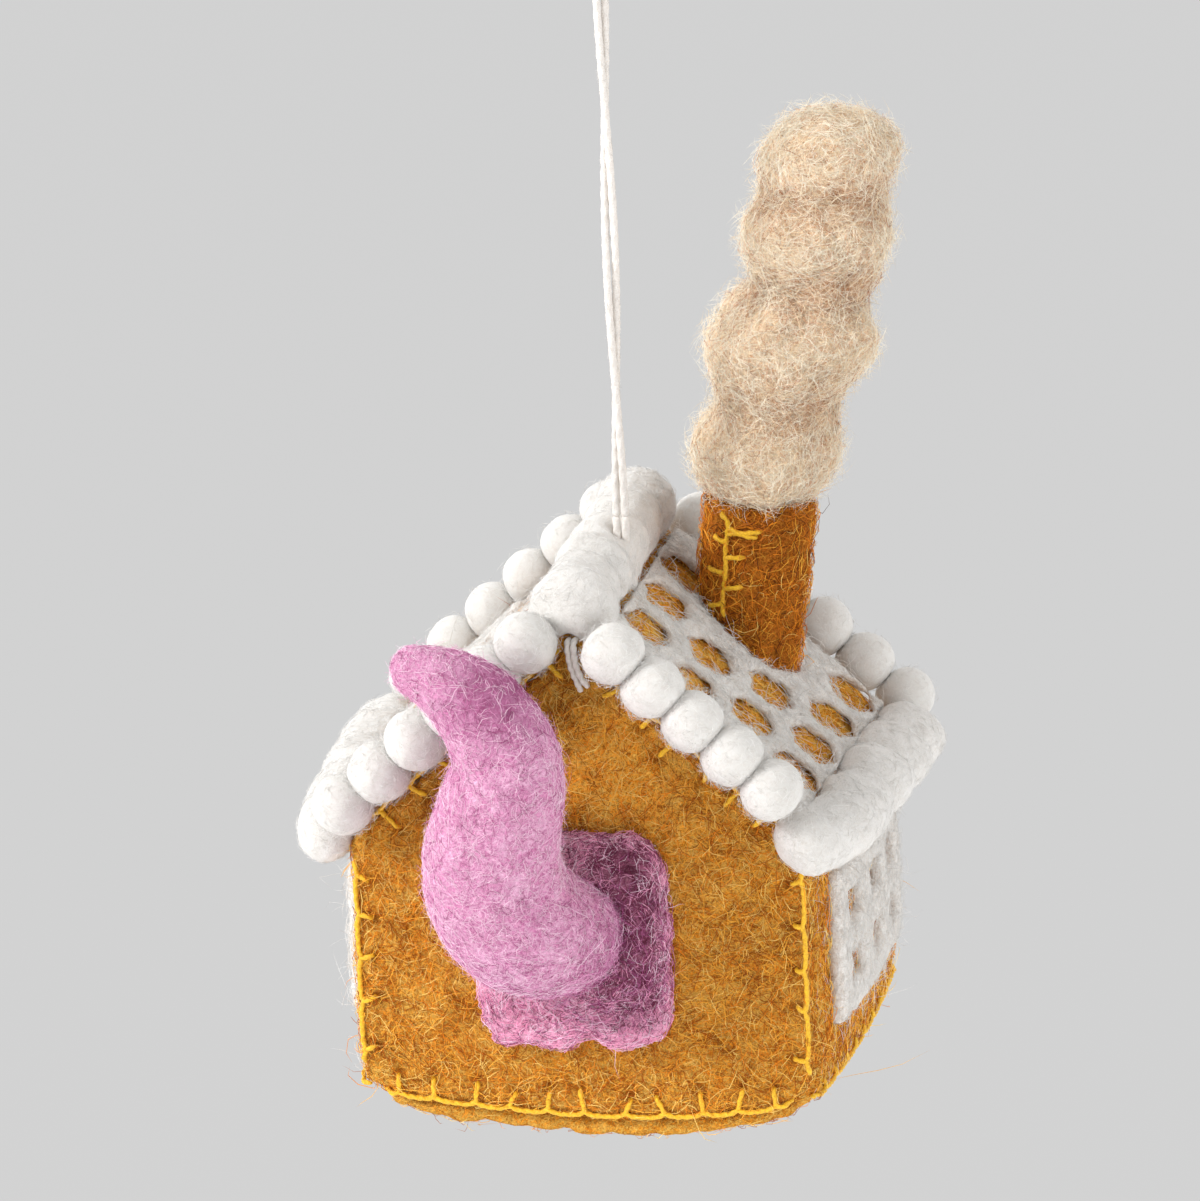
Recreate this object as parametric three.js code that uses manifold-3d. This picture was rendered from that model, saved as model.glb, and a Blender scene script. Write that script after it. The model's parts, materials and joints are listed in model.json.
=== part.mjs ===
// Felt gingerbread house that hangs on a doubled cord. Millimetres, +Z up.
// The origin is the inside top of the cord's loop, and the house hangs below it with its front towards -Y.
import * as THREE from 'three';
import { mergeVertices } from 'three/addons/utils/BufferGeometryUtils.js';
import loadManifold from 'manifold-3d';

const wasm = await loadManifold();
wasm.setup();

// House
const frontWidth = 62.5;
const backWidth = 67.5;
const houseDepth = 58;
const wallHeight = 35;
const apexHeight = 64;
const feltThickness = 2.6;
const seamGap = 0.3;
const roofFrontSetback = 0.6;
const eaveSetback = 2.6;
const baseSideInset = 2.2;

// Icing
const icingThickness = 1.3;
const icingRidgeMargin = 2.6;
const icingGableMargin = 1.2;
const icingEaveMargin = 0.6;
const gapRows = 4;
const gapPitch = 13.2;
const gapStagger = 5.4;
const firstGap = 9;
const gapLength = 8.4;
const gapWidth = 11.4;
const gapSlant = 0.5;
const ballRadius = 4.4;
const ballPitch = 7.4;
const ballSeatAngle = 27;
const ballSides = 11;
const ballRings = 7;
const frontRightBalls = 5;
const frontLeftBalls = 6;
const backRightBalls = 6;
const backLeftBalls = 6;
const firstBallRight = 4.8;
const firstBallLeft = 2.8;
const ridgeRadius = 5.2;
const ridgeSwell = 0.35;
const ridgeLumps = 5;
const ridgeSink = 3.8;
const eaveRadius = 4.3;
const eaveSwell = 0.25;
const eaveLumps = 4;
const eaveLift = 1.2;
const rightEaveOverhang = 3.6;
const rollSetback = 0.8;
const rollSides = 12;
const rollRings = 22;

// Window
const windowWidth = 40;
const windowHeight = 20.5;
const windowSill = 8;
const windowMiddleY = 1;
const windowThickness = 1.2;
const windowBar = 4;
const windowRail = 3.4;
const windowColumns = 3;
const windowRows = 2;

// Chimney and smoke
const chimneyX = 17;
const chimneyFromBack = 16;
const chimneyTopZ = 74;
const chimneyFootRadius = 6.8;
const chimneyTopRadius = 7.5;
const chimneyLean = 6;
const chimneySides = 24;
const smokeStemDepth = 12;
const smokeLean = 12;
const smokeLobes = [
  { height: 7.4, radius: 10.7 },
  { height: 22.4, radius: 11.7 },
  { height: 39, radius: 10.5 },
  { height: 50, radius: 9.4 },
];
const smokeWaists = [
  { height: 14.8, radius: 8.7 },
  { height: 32, radius: 8.4 },
  { height: 44.6, radius: 8.9 },
];
const smokeHeight = 57.5;
const smokeFootRadius = 7.2;
const smokeSides = 16;
const smokeRings = 27;
const crownRings = 4;

// Tail and its patch
const patchWidth = 26;
const patchHeight = 31;
const patchThickness = 2.4;
const patchCorner = 5;
const patchBevel = 0.8;
const patchX = -0.4;
const patchZ = 23.2;
const tailStations = [
  { across: 4.2, out: -7, up: 2.2, radius: 7.4 },
  { across: -0.6, out: 3.4, up: 2.2, radius: 9 },
  { across: -6.2, out: 8.6, up: 6, radius: 9.8 },
  { across: -8.8, out: 11.4, up: 13.8, radius: 9.4 },
  { across: -7.2, out: 13, up: 22.4, radius: 8.6 },
  { across: -5.2, out: 14.2, up: 29.8, radius: 7.4 },
  { across: -7.6, out: 15, up: 36.8, radius: 6.2 },
  { across: -12.6, out: 15.2, up: 41.2, radius: 4.9 },
  { across: -17.2, out: 15, up: 43.2, radius: 3.5 },
];
const tailSides = 14;
const tailSteps = 26;
const tipSteps = 3;

// Floss
const flossWidth = 0.8;
const flossHeight = 0.5;
const stitchPitch = 5.5;
const stitchLeg = 2.4;
const seamEnd = 1.8;
const gableInset = 0.9;
const gableSeamEnd = 4;
const chimneySeamAngle = -22;
const chimneySeamFoot = 6;
const chimneySeamTop = 2.5;
const chimneyLegPitch = 2.8;
const chimneyLegLength = 2.8;
const tieLength = 6;
const tieSpread = 1.2;

// Cord
const cordLength = 98;
const strandRadius = 0.55;
const strandSpacing = 1.4;
const cordTurns = 1;
const strandSides = 8;
const strandSteps = 34;
const eyeHeight = 17;
const eyeRadius = 4;
const eyeSteps = 26;
const cordX = 2.8;
const cordY = -3;
const cordPivotRise = 0.85;
const rootRadius = 1.3;
const knotRadius = 3.2;
const knotDepth = 11;
const boreClearance = 0.3;

// Worked out from the sizes above
const middleWidth = (frontWidth + backWidth) / 2;
const halfWidth = middleWidth / 2;
const halfDepth = houseDepth / 2;
const slope = Math.atan2(apexHeight - wallHeight, halfWidth);
const slopeLength = Math.hypot(apexHeight - wallHeight, halfWidth);
const downSlope = new THREE.Vector3(Math.cos(slope), 0, -Math.sin(slope));
const outOfSlope = new THREE.Vector3(Math.sin(slope), 0, Math.cos(slope));
const roofTop = seamGap + feltThickness;
const roofLength = slopeLength - eaveSetback;
const roofFrontY = -halfDepth + roofFrontSetback;
const ridgePeakZ = apexHeight + roofTop / Math.cos(slope);
const ridgeZ = ridgePeakZ + ridgeRadius - ridgeSink;
const rollBackY = halfDepth - rollSetback;
const frontFaceY = -halfDepth;
const flossOut = seamGap + flossHeight / 2;
const ridgeCrestZ = ridgeZ + rollRadius(ridgeRadius, ridgeSwell, ridgeLumps, cordY);
const knotZ = ridgePeakZ - knotDepth;
const chimneyY = halfDepth - chimneyFromBack;
const chimneyFoot = new THREE.Vector3(chimneyX, chimneyY, ridgePeakZ - chimneyX * Math.tan(slope));
const chimneyTilt = THREE.MathUtils.degToRad(chimneyLean);
const chimneyHeight = (chimneyTopZ - chimneyFoot.z) / Math.cos(chimneyTilt);
const patchFaceY = frontFaceY - seamGap - patchThickness;

const ginger = { color: 0xc8822c, roughness: 0.95 };
const whiteWool = { color: 0xf4f1ec, roughness: 0.95 };
const cream = { color: 0xe8d2b4, roughness: 0.98 };
const lilac = { color: 0xd79ac6, roughness: 0.95 };
const purple = { color: 0xb0608f, roughness: 0.95 };
const yellowFloss = { color: 0xf0c81e, roughness: 0.7 };
const cotton = { color: 0xf2ebe0, roughness: 0.85 };

// A point on the right slope: down from the apex line, out from the gable's slope
function onSlope(down, out, y = 0) {
  const point = new THREE.Vector3(0, y, apexHeight);
  return point.addScaledVector(downSlope, down).addScaledVector(outOfSlope, out);
}

function slopeFrame(down, out, y) {
  const frame = new THREE.Matrix4().makeBasis(downSlope, new THREE.Vector3(0, 1, 0), outOfSlope);
  return frame.setPosition(onSlope(down, out, y));
}

// A wool roll's radius swells and draws in along its length
function rollRadius(radius, swell, lumps, along) {
  return radius + swell * Math.cos((2 * Math.PI * lumps * along) / houseDepth);
}

function polygon(points) {
  return new THREE.Shape(points.map(([x, y]) => new THREE.Vector2(x, y)));
}

function roundedRectangle(width, height, corner) {
  const shape = new THREE.Shape();
  const x = width / 2 - corner;
  const y = height / 2 - corner;
  shape.absarc(x, y, corner, 0, Math.PI / 2);
  shape.absarc(-x, y, corner, Math.PI / 2, Math.PI);
  shape.absarc(-x, -y, corner, Math.PI, 1.5 * Math.PI);
  shape.absarc(x, -y, corner, 1.5 * Math.PI, 2 * Math.PI);
  return shape;
}

// Extrudes an outline drawn in X and Z from one depth to another
function slab(outline, fromY, toY) {
  const geometry = new THREE.ExtrudeGeometry(outline, { depth: toY - fromY, bevelEnabled: false });
  return geometry.rotateX(Math.PI / 2).translate(0, toY, 0);
}

function box(width, depth, height, x, y, z) {
  return new THREE.BoxGeometry(width, depth, height).translate(x, y, z);
}

// Turns a front piece into the back one, or a right one into the left one
function turned(geometry) {
  return geometry.rotateZ(Math.PI);
}

// Mirrors a right piece into the left one, with its faces still outward
function mirrored(geometry) {
  const copy = (geometry.index ? geometry : mergeVertices(geometry)).scale(-1, 1, 1);
  const order = copy.index.array;
  for (let i = 0; i < order.length; i += 3) {
    [order[i], order[i + 2]] = [order[i + 2], order[i]];
  }
  return copy;
}

function toSolid(geometry) {
  const bare = geometry.clone();
  bare.deleteAttribute('normal');
  bare.deleteAttribute('uv');
  const welded = mergeVertices(bare, 1e-4);
  return new wasm.Manifold(new wasm.Mesh({
    numProp: 3,
    vertProperties: Float32Array.from(welded.attributes.position.array),
    triVerts: Uint32Array.from(welded.index.array),
  }));
}

function toGeometry(solid) {
  const mesh = solid.getMesh();
  const geometry = new THREE.BufferGeometry();
  geometry.setAttribute('position', new THREE.BufferAttribute(mesh.vertProperties, 3));
  geometry.setIndex(new THREE.BufferAttribute(mesh.triVerts, 1));
  geometry.computeVertexNormals();
  return geometry;
}

function joined(geometries) {
  return toGeometry(geometries.map(toSolid).reduce((whole, next) => whole.add(next)));
}

function cut(geometry, ...tools) {
  return toGeometry(tools.map(toSolid).reduce((whole, tool) => whole.subtract(tool), toSolid(geometry)));
}

// The back gable is cut wider than the front one, so the house flares towards the back.
// Its eaves drop by as much as keeps both roof slopes flat.
function flared(geometry) {
  const places = geometry.attributes.position;
  for (let i = 0; i < places.count; i += 1) {
    const [x, y, z] = [places.getX(i), places.getY(i), places.getZ(i)];
    const width = THREE.MathUtils.lerp(frontWidth, backWidth, (y + halfDepth) / houseDepth);
    const spread = width / middleWidth;
    const drop = (spread - 1) * Math.abs(x) * Math.tan(slope);
    places.setXYZ(i, x * spread, y, z - drop * THREE.MathUtils.clamp(z / wallHeight, 0, 1));
  }
  geometry.computeVertexNormals();
  return geometry;
}

function piece(name, geometry, finish) {
  const mesh = new THREE.Mesh(geometry, new THREE.MeshStandardMaterial({ ...finish, metalness: 0 }));
  mesh.name = name;
  return mesh;
}

// A ring of points for each station, joined into one closed skin
function loft(rings) {
  const sides = rings[0].length;
  const first = rings[0].reduce((sum, point) => sum.add(point), new THREE.Vector3()).divideScalar(sides);
  const last = rings.at(-1).reduce((sum, point) => sum.add(point), new THREE.Vector3()).divideScalar(sides);
  const points = [first, ...rings.flat(), last];
  const faces = [];
  for (let side = 0; side < sides; side += 1) {
    const next = (side + 1) % sides;
    faces.push(0, 1 + next, 1 + side);
    for (let ring = 0; ring + 1 < rings.length; ring += 1) {
      const low = 1 + ring * sides;
      const high = low + sides;
      faces.push(low + side, low + next, high + next);
      faces.push(low + side, high + next, high + side);
    }
    const top = 1 + (rings.length - 1) * sides;
    faces.push(top + side, top + next, points.length - 1);
  }
  const geometry = new THREE.BufferGeometry().setFromPoints(points);
  geometry.setIndex(faces);
  geometry.computeVertexNormals();
  return geometry;
}

// The cord's passage from the knot up through the ridge, wide enough for the root
function cordBore() {
  const radius = rootRadius + boreClearance;
  const reach = ridgeCrestZ - knotZ;
  const bore = new THREE.CylinderGeometry(radius, radius, 2 * reach, 12).rotateX(Math.PI / 2);
  return bore.translate(cordX, cordY, ridgeCrestZ);
}

function gable() {
  const outline = polygon([
    [-halfWidth, 0],
    [halfWidth, 0],
    [halfWidth, wallHeight],
    [0, apexHeight],
    [-halfWidth, wallHeight],
  ]);
  return slab(outline, frontFaceY, frontFaceY + feltThickness);
}

function rightWall() {
  const inner = halfWidth - feltThickness;
  const outline = polygon([
    [inner, 0],
    [halfWidth, 0],
    [halfWidth, wallHeight],
    [inner, wallHeight + feltThickness * Math.tan(slope)],
  ]);
  const end = halfDepth - feltThickness - seamGap;
  return slab(outline, -end, end);
}

function basePanel() {
  const z = -seamGap - feltThickness / 2;
  return box(middleWidth - 2 * baseSideInset, houseDepth, feltThickness, 0, 0, z);
}

function roofSlope() {
  const ridgeX = seamGap / 2;
  const atRidge = (out) => [ridgeX, apexHeight + out / Math.cos(slope) - ridgeX * Math.tan(slope)];
  const atEave = (out) => {
    const point = onSlope(roofLength, out);
    return [point.x, point.z];
  };
  const outline = polygon([atRidge(seamGap), atEave(seamGap), atEave(roofTop), atRidge(roofTop)]);
  return slab(outline, roofFrontY, -roofFrontY);
}

function stuffing() {
  const side = halfWidth - feltThickness - seamGap;
  const under = seamGap / Math.cos(slope);
  const shoulder = apexHeight - side * Math.tan(slope) - under;
  const outline = polygon([
    [-side, seamGap],
    [side, seamGap],
    [side, shoulder],
    [0, apexHeight - under],
    [-side, shoulder],
  ]);
  const end = halfDepth - feltThickness - seamGap;
  const pocket = new THREE.SphereGeometry(knotRadius + boreClearance, 14, 10);
  pocket.translate(cordX, cordY, knotZ);
  return cut(slab(outline, -end, end), cordBore(), pocket);
}

// Lattice of icing on the right slope, with a leaf-shaped gap between its bars
function icingLattice(atChimney) {
  const low = icingRidgeMargin;
  const high = roofLength - icingEaveMargin;
  const end = -roofFrontY - icingGableMargin;
  const outline = polygon([[low, -end], [high, -end], [high, end], [low, end]]);
  const rowPitch = (high - low) / gapRows;
  for (let row = 0; row < gapRows; row += 1) {
    const down = low + (row + 0.5) * rowPitch;
    const first = -end + firstGap + (row % 2 ? 0 : gapStagger);
    for (let along = first; along < end - gapWidth / 2; along += gapPitch) {
      if (atChimney && meetsChimney(down, along)) continue;
      outline.holes.push(leaf(down, along));
    }
  }
  const icing = new THREE.ExtrudeGeometry(outline, { depth: icingThickness, bevelEnabled: false });
  icing.applyMatrix4(slopeFrame(0, roofTop + seamGap, 0));
  return atChimney ? cut(icing, chimneyRod(seamGap)) : icing;
}

// Whether a gap would break into the chimney's round hole, an ellipse on the slope
function meetsChimney(down, along) {
  const downReach = chimneyFootRadius / Math.cos(slope) + seamGap + gapLength / 2;
  const sideReach = chimneyFootRadius + seamGap + gapWidth / 2;
  const chimneyDown = chimneyX / Math.cos(slope);
  return Math.hypot((down - chimneyDown) / downReach, (along - chimneyY) / sideReach) < 1;
}

// A leaf-shaped gap, six corners round
function leaf(down, along) {
  const path = new THREE.Path();
  for (let corner = 0; corner < 6; corner += 1) {
    const turn = (corner * Math.PI) / 3;
    const x = (gapLength / 2) * Math.cos(turn);
    const y = (gapWidth / 2) * Math.sin(turn) + gapSlant * Math.cos(turn);
    if (corner) path.lineTo(down + x, along + y);
    else path.moveTo(down + x, along + y);
  }
  path.closePath();
  return path;
}

// A wool roll along Y from its front end to the back setback, with rounded ends
function roll(radius, swell, lumps, x, z, frontY) {
  const half = (rollBackY - frontY) / 2;
  const middle = (rollBackY + frontY) / 2;
  const profile = [new THREE.Vector2(0, -half)];
  for (let i = 1; i < rollRings; i += 1) {
    const along = -half * Math.cos((Math.PI * i) / rollRings);
    const fromEnd = half - Math.abs(along);
    const round = fromEnd < radius ? Math.sqrt(1 - (1 - fromEnd / radius) ** 2) : 1;
    profile.push(new THREE.Vector2(rollRadius(radius, swell, lumps, along + middle) * round, along));
  }
  profile.push(new THREE.Vector2(0, half));
  return new THREE.LatheGeometry(profile, rollSides).translate(x, middle, z);
}

// The ridge roll sits astride the roof's peak, so its underside is cut to both slopes
function ridgeRoll() {
  const clear = roofTop + seamGap;
  const foot = onSlope(slopeLength, clear);
  const roof = polygon([
    [0, apexHeight + clear / Math.cos(slope)],
    [-foot.x, foot.z],
    [foot.x, foot.z],
  ]);
  const wool = roll(ridgeRadius, ridgeSwell, ridgeLumps, 0, ridgeZ, -rollBackY);
  return cut(wool, slab(roof, -houseDepth, houseDepth), cordBore());
}

function eaveRoll(frontY) {
  const reach = eaveRadius + eaveSwell + seamGap;
  const x = halfWidth + Math.sqrt(reach ** 2 - eaveLift ** 2);
  return roll(eaveRadius, eaveSwell, eaveLumps, x, wallHeight + eaveLift, frontY);
}

// A felt ball, pressed flat against its neighbours, seated on the roof's front edge
function ball(down) {
  const pressed = (ballPitch - seamGap) / 2;
  const reach = ballRadius + seamGap;
  const angle = THREE.MathUtils.degToRad(ballSeatAngle);
  const y = roofFrontY - reach * Math.cos(angle);
  const out = roofTop + reach * Math.sin(angle);
  const geometry = new THREE.SphereGeometry(ballRadius, ballSides, ballRings);
  return geometry.scale(pressed / ballRadius, 1, 1).applyMatrix4(slopeFrame(down, out, y));
}

function ballRow(name, count, first, place) {
  const balls = [];
  for (let i = 0; i < count; i += 1) {
    const geometry = flared(place(ball(first + i * ballPitch)));
    balls.push(piece(`${name}_ball_${i + 1}`, geometry, whiteWool));
  }
  return balls;
}

// Upright bars and cross bars of wool on the right wall
function wallWindow() {
  const x = halfWidth + seamGap + windowThickness / 2;
  const middleZ = windowSill + windowHeight / 2;
  const frame = box(windowThickness, windowWidth, windowHeight, x, windowMiddleY, middleZ);
  const paneWidth = (windowWidth - (windowColumns + 1) * windowBar) / windowColumns;
  const paneHeight = (windowHeight - (windowRows + 1) * windowRail) / windowRows;
  const panes = [];
  for (let column = 0; column < windowColumns; column += 1) {
    for (let row = 0; row < windowRows; row += 1) {
      const y = windowMiddleY + (column - (windowColumns - 1) / 2) * (paneWidth + windowBar);
      const z = windowSill + windowRail + paneHeight / 2 + row * (paneHeight + windowRail);
      panes.push(box(2 * windowThickness, paneWidth, paneHeight, x, y, z));
    }
  }
  return cut(frame, ...panes);
}

// Places a shape made along +Z on the chimney's leaning axis
function onChimney(geometry) {
  return geometry.rotateY(chimneyTilt).translate(chimneyFoot.x, chimneyFoot.y, chimneyFoot.z);
}

function chimneyRadius(height) {
  return THREE.MathUtils.lerp(chimneyFootRadius, chimneyTopRadius, height / chimneyHeight);
}

// The chimney's outside, widened, to cut the icing round it
function chimneyRod(clearance) {
  const reach = chimneyHeight;
  const foot = chimneyRadius(-reach) + clearance;
  const top = chimneyRadius(reach) + clearance;
  return onChimney(new THREE.CylinderGeometry(top, foot, 2 * reach, chimneySides).rotateX(Math.PI / 2));
}

// A rolled felt tube whose foot is cut to the roof's slope
function chimney() {
  const buried = -2 * chimneyFootRadius;
  const profile = [
    new THREE.Vector2(chimneyRadius(buried) - feltThickness, buried),
    new THREE.Vector2(chimneyRadius(buried), buried),
    new THREE.Vector2(chimneyTopRadius, chimneyHeight),
    new THREE.Vector2(chimneyTopRadius - feltThickness, chimneyHeight),
    new THREE.Vector2(chimneyRadius(buried) - feltThickness, buried),
  ];
  const tube = onChimney(new THREE.LatheGeometry(profile, chimneySides).rotateX(Math.PI / 2));
  const roof = new THREE.BoxGeometry(slopeLength, houseDepth, slopeLength);
  roof.applyMatrix4(slopeFrame(slopeLength / 2, roofTop + seamGap - slopeLength / 2, 0));
  return cut(tube, roof);
}

// Stitched seam up the chimney, its legs to either side
function chimneySeam() {
  const top = chimneyHeight - chimneySeamTop;
  const length = top - chimneySeamFoot;
  const out = chimneyTopRadius + flossOut;
  const threads = [box(flossWidth, flossHeight, length, 0, -out, chimneySeamFoot + length / 2)];
  const legs = Math.floor(length / chimneyLegPitch);
  for (let i = 0; i < legs; i += 1) {
    const side = i % 2 ? 1 : -1;
    const z = chimneySeamFoot + (i + 0.5) * (length / legs);
    threads.push(box(chimneyLegLength, flossHeight, flossWidth, (side * chimneyLegLength) / 2, -out, z));
  }
  return onChimney(joined(threads).rotateZ(THREE.MathUtils.degToRad(chimneySeamAngle)));
}

// The smoke's radius at a height over the chimney's mouth: lobes, drawn in at the waists
function smokeRadius(height) {
  const [first] = smokeLobes;
  if (height <= first.height) {
    const below = (first.height - height) / first.height;
    return THREE.MathUtils.lerp(first.radius, smokeFootRadius, below ** 2);
  }
  const knots = [...smokeLobes, ...smokeWaists].sort((a, b) => a.height - b.height);
  const next = knots.findIndex((knot) => knot.height >= height);
  const low = knots[next - 1];
  const share = (height - low.height) / (knots[next].height - low.height);
  return THREE.MathUtils.lerp(low.radius, knots[next].radius, (1 - Math.cos(Math.PI * share)) / 2);
}

function level(center, radius, sides) {
  const ring = [];
  for (let side = 0; side < sides; side += 1) {
    const turn = (2 * Math.PI * side) / sides;
    ring.push(new THREE.Vector3(radius * Math.cos(turn), radius * Math.sin(turn), 0).add(center));
  }
  return ring;
}

// Wool smoke: a stem in the chimney's mouth, then four lobes that lean further than the chimney
function smoke() {
  const stem = chimneyFootRadius - feltThickness - seamGap;
  const lean = Math.tan(THREE.MathUtils.degToRad(smokeLean - chimneyLean));
  const ring = (height, radius) => level(
    new THREE.Vector3(lean * Math.max(0, height), 0, chimneyHeight + height),
    radius,
    smokeSides,
  );
  const rings = [ring(-smokeStemDepth, stem), ring(seamGap, stem)];
  const crown = smokeLobes.at(-1);
  for (let i = 0; i < smokeRings; i += 1) {
    const height = THREE.MathUtils.lerp(2 * seamGap, crown.height, i / (smokeRings - 1));
    rings.push(ring(height, smokeRadius(height)));
  }
  for (let i = 1; i <= crownRings; i += 1) {
    const turn = (Math.PI / 2) * (i / (crownRings + 1));
    const height = THREE.MathUtils.lerp(crown.height, smokeHeight, Math.sin(turn));
    rings.push(ring(height, crown.radius * Math.cos(turn)));
  }
  return onChimney(loft(rings));
}

function patch() {
  const flat = roundedRectangle(patchWidth - 2 * patchBevel, patchHeight - 2 * patchBevel, patchCorner);
  const pad = new THREE.ExtrudeGeometry(flat, {
    depth: patchThickness - 2 * patchBevel,
    bevelThickness: patchBevel,
    bevelSize: patchBevel,
    bevelSegments: 2,
    curveSegments: 4,
  });
  return pad.rotateX(Math.PI / 2).translate(patchX, frontFaceY - seamGap - patchBevel, patchZ);
}

// Felted tail: swells from the patch, tapers to its tip, and is cut flat where it meets the patch
function tail() {
  const places = tailStations.map(
    (at) => new THREE.Vector3(patchX + at.across, patchFaceY - at.out, patchZ + at.up),
  );
  const route = new THREE.CatmullRomCurve3(places);
  const swell = new THREE.CatmullRomCurve3(tailStations.map((at, i) => new THREE.Vector3(i, at.radius, 0)));
  const frames = route.computeFrenetFrames(tailSteps);
  const round = level(new THREE.Vector3(), 1, tailSides);
  const ring = (center, step, radius) => round.map((point) => center.clone()
    .addScaledVector(frames.normals[step], point.x * radius)
    .addScaledVector(frames.binormals[step], point.y * radius));
  const rings = [];
  for (let step = 0; step <= tailSteps; step += 1) {
    const share = route.getUtoTmapping(step / tailSteps);
    rings.push(ring(route.getPoint(share), step, swell.getPoint(share).y));
  }
  const tip = tailStations.at(-1).radius;
  for (let i = 1; i <= tipSteps; i += 1) {
    const turn = (Math.PI / 2) * (i / (tipSteps + 1));
    const center = places.at(-1).clone().addScaledVector(frames.tangents[tailSteps], tip * Math.sin(turn));
    rings.push(ring(center, tailSteps, tip * Math.cos(turn)));
  }
  const wall = box(frontWidth, houseDepth, apexHeight, patchX, patchFaceY - seamGap + halfDepth, patchZ);
  return cut(loft(rings), wall);
}

// Blanket stitch on a flat face: a line along +X, with legs along +Z, lifted along -Y
function blanketStitch(length) {
  const threads = [box(length, flossHeight, flossWidth, 0, 0, flossWidth / 2)];
  const stitches = Math.floor(length / stitchPitch);
  for (let i = 0; i < stitches; i += 1) {
    const x = -length / 2 + (i + 0.5) * (length / stitches);
    threads.push(box(flossWidth, flossHeight, stitchLeg, x, 0, stitchLeg / 2));
  }
  return joined(threads);
}

function frontBaseSeam() {
  return blanketStitch(middleWidth - 2 * seamEnd).translate(0, frontFaceY - flossOut, 0);
}

function sideBaseSeam() {
  const seam = blanketStitch(houseDepth - 2 * seamEnd).rotateZ(Math.PI / 2);
  return seam.translate(halfWidth + flossOut, 0, 0);
}

function frontRightSeam() {
  const length = wallHeight - 2 * seamEnd - stitchLeg;
  const seam = blanketStitch(length).rotateY(-Math.PI / 2);
  return seam.translate(halfWidth, frontFaceY - flossOut, wallHeight / 2 + stitchLeg / 2);
}

function frontGableSeam() {
  const start = gableInset * Math.tan(slope) - flossWidth;
  const length = slopeLength - gableSeamEnd - start;
  const right = blanketStitch(length).rotateX(Math.PI);
  right.applyMatrix4(slopeFrame(start + length / 2, -gableInset, frontFaceY - flossOut));
  return joined([right, mirrored(right.clone())]);
}

// The two loose ends of the thread that the balls are sewn on with
function ballTie() {
  const y = frontFaceY - 2 * flossOut - flossHeight / 2;
  const top = apexHeight + flossWidth;
  const threads = [box(2 * tieSpread, flossHeight, flossWidth, 0, y, top)];
  for (const side of [-1, 1]) {
    const tilt = side * Math.atan2(tieSpread, 2 * tieLength);
    const end = box(flossWidth, flossHeight, tieLength, 0, 0, -tieLength / 2).rotateY(-tilt);
    threads.push(end.translate((side * tieSpread) / 2, y, top + flossWidth / 4));
  }
  return joined(threads);
}

function circle(radius, sides) {
  return polygon(level(new THREE.Vector3(), radius, sides).map((point) => [point.x, point.y]));
}

function tube(route, steps) {
  return new THREE.ExtrudeGeometry(circle(strandRadius, strandSides), {
    steps,
    extrudePath: route,
    bevelEnabled: false,
  });
}

// One strand of the doubled cord, twisted round its mate
class Strand extends THREE.Curve {
  constructor(side) {
    super();
    this.side = side;
  }

  getPoint(share) {
    const turn = 2 * Math.PI * cordTurns * share;
    const x = (this.side * strandSpacing) / 2;
    const top = -eyeHeight - seamGap;
    const z = THREE.MathUtils.lerp(top, -cordLength, share);
    return new THREE.Vector3(x * Math.cos(turn), x * Math.sin(turn), z);
  }
}

// The eye at the cord's top, open for a hook or a twig
function cordEye() {
  const middle = strandRadius - eyeRadius;
  const round = [];
  for (const turn of [-30, 0, 45, 90, 135, 180, 210]) {
    const angle = THREE.MathUtils.degToRad(turn);
    round.push(new THREE.Vector3(eyeRadius * Math.cos(angle), 0, middle + eyeRadius * Math.sin(angle)));
  }
  const end = (side) => new THREE.Vector3((side * strandSpacing) / 2, 0, -eyeHeight);
  return tube(new THREE.CatmullRomCurve3([end(1), ...round, end(-1)]), eyeSteps);
}

// The cord's end through the ridge, with the knot that holds it under the roof
function cordRoot() {
  const length = ridgeCrestZ - knotZ;
  const stem = new THREE.CylinderGeometry(rootRadius, rootRadius, length, 10).rotateX(Math.PI / 2);
  const knot = new THREE.SphereGeometry(knotRadius, 12, 8);
  return joined([stem.translate(0, 0, length / 2), knot]).translate(cordX, cordY, knotZ);
}

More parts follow.
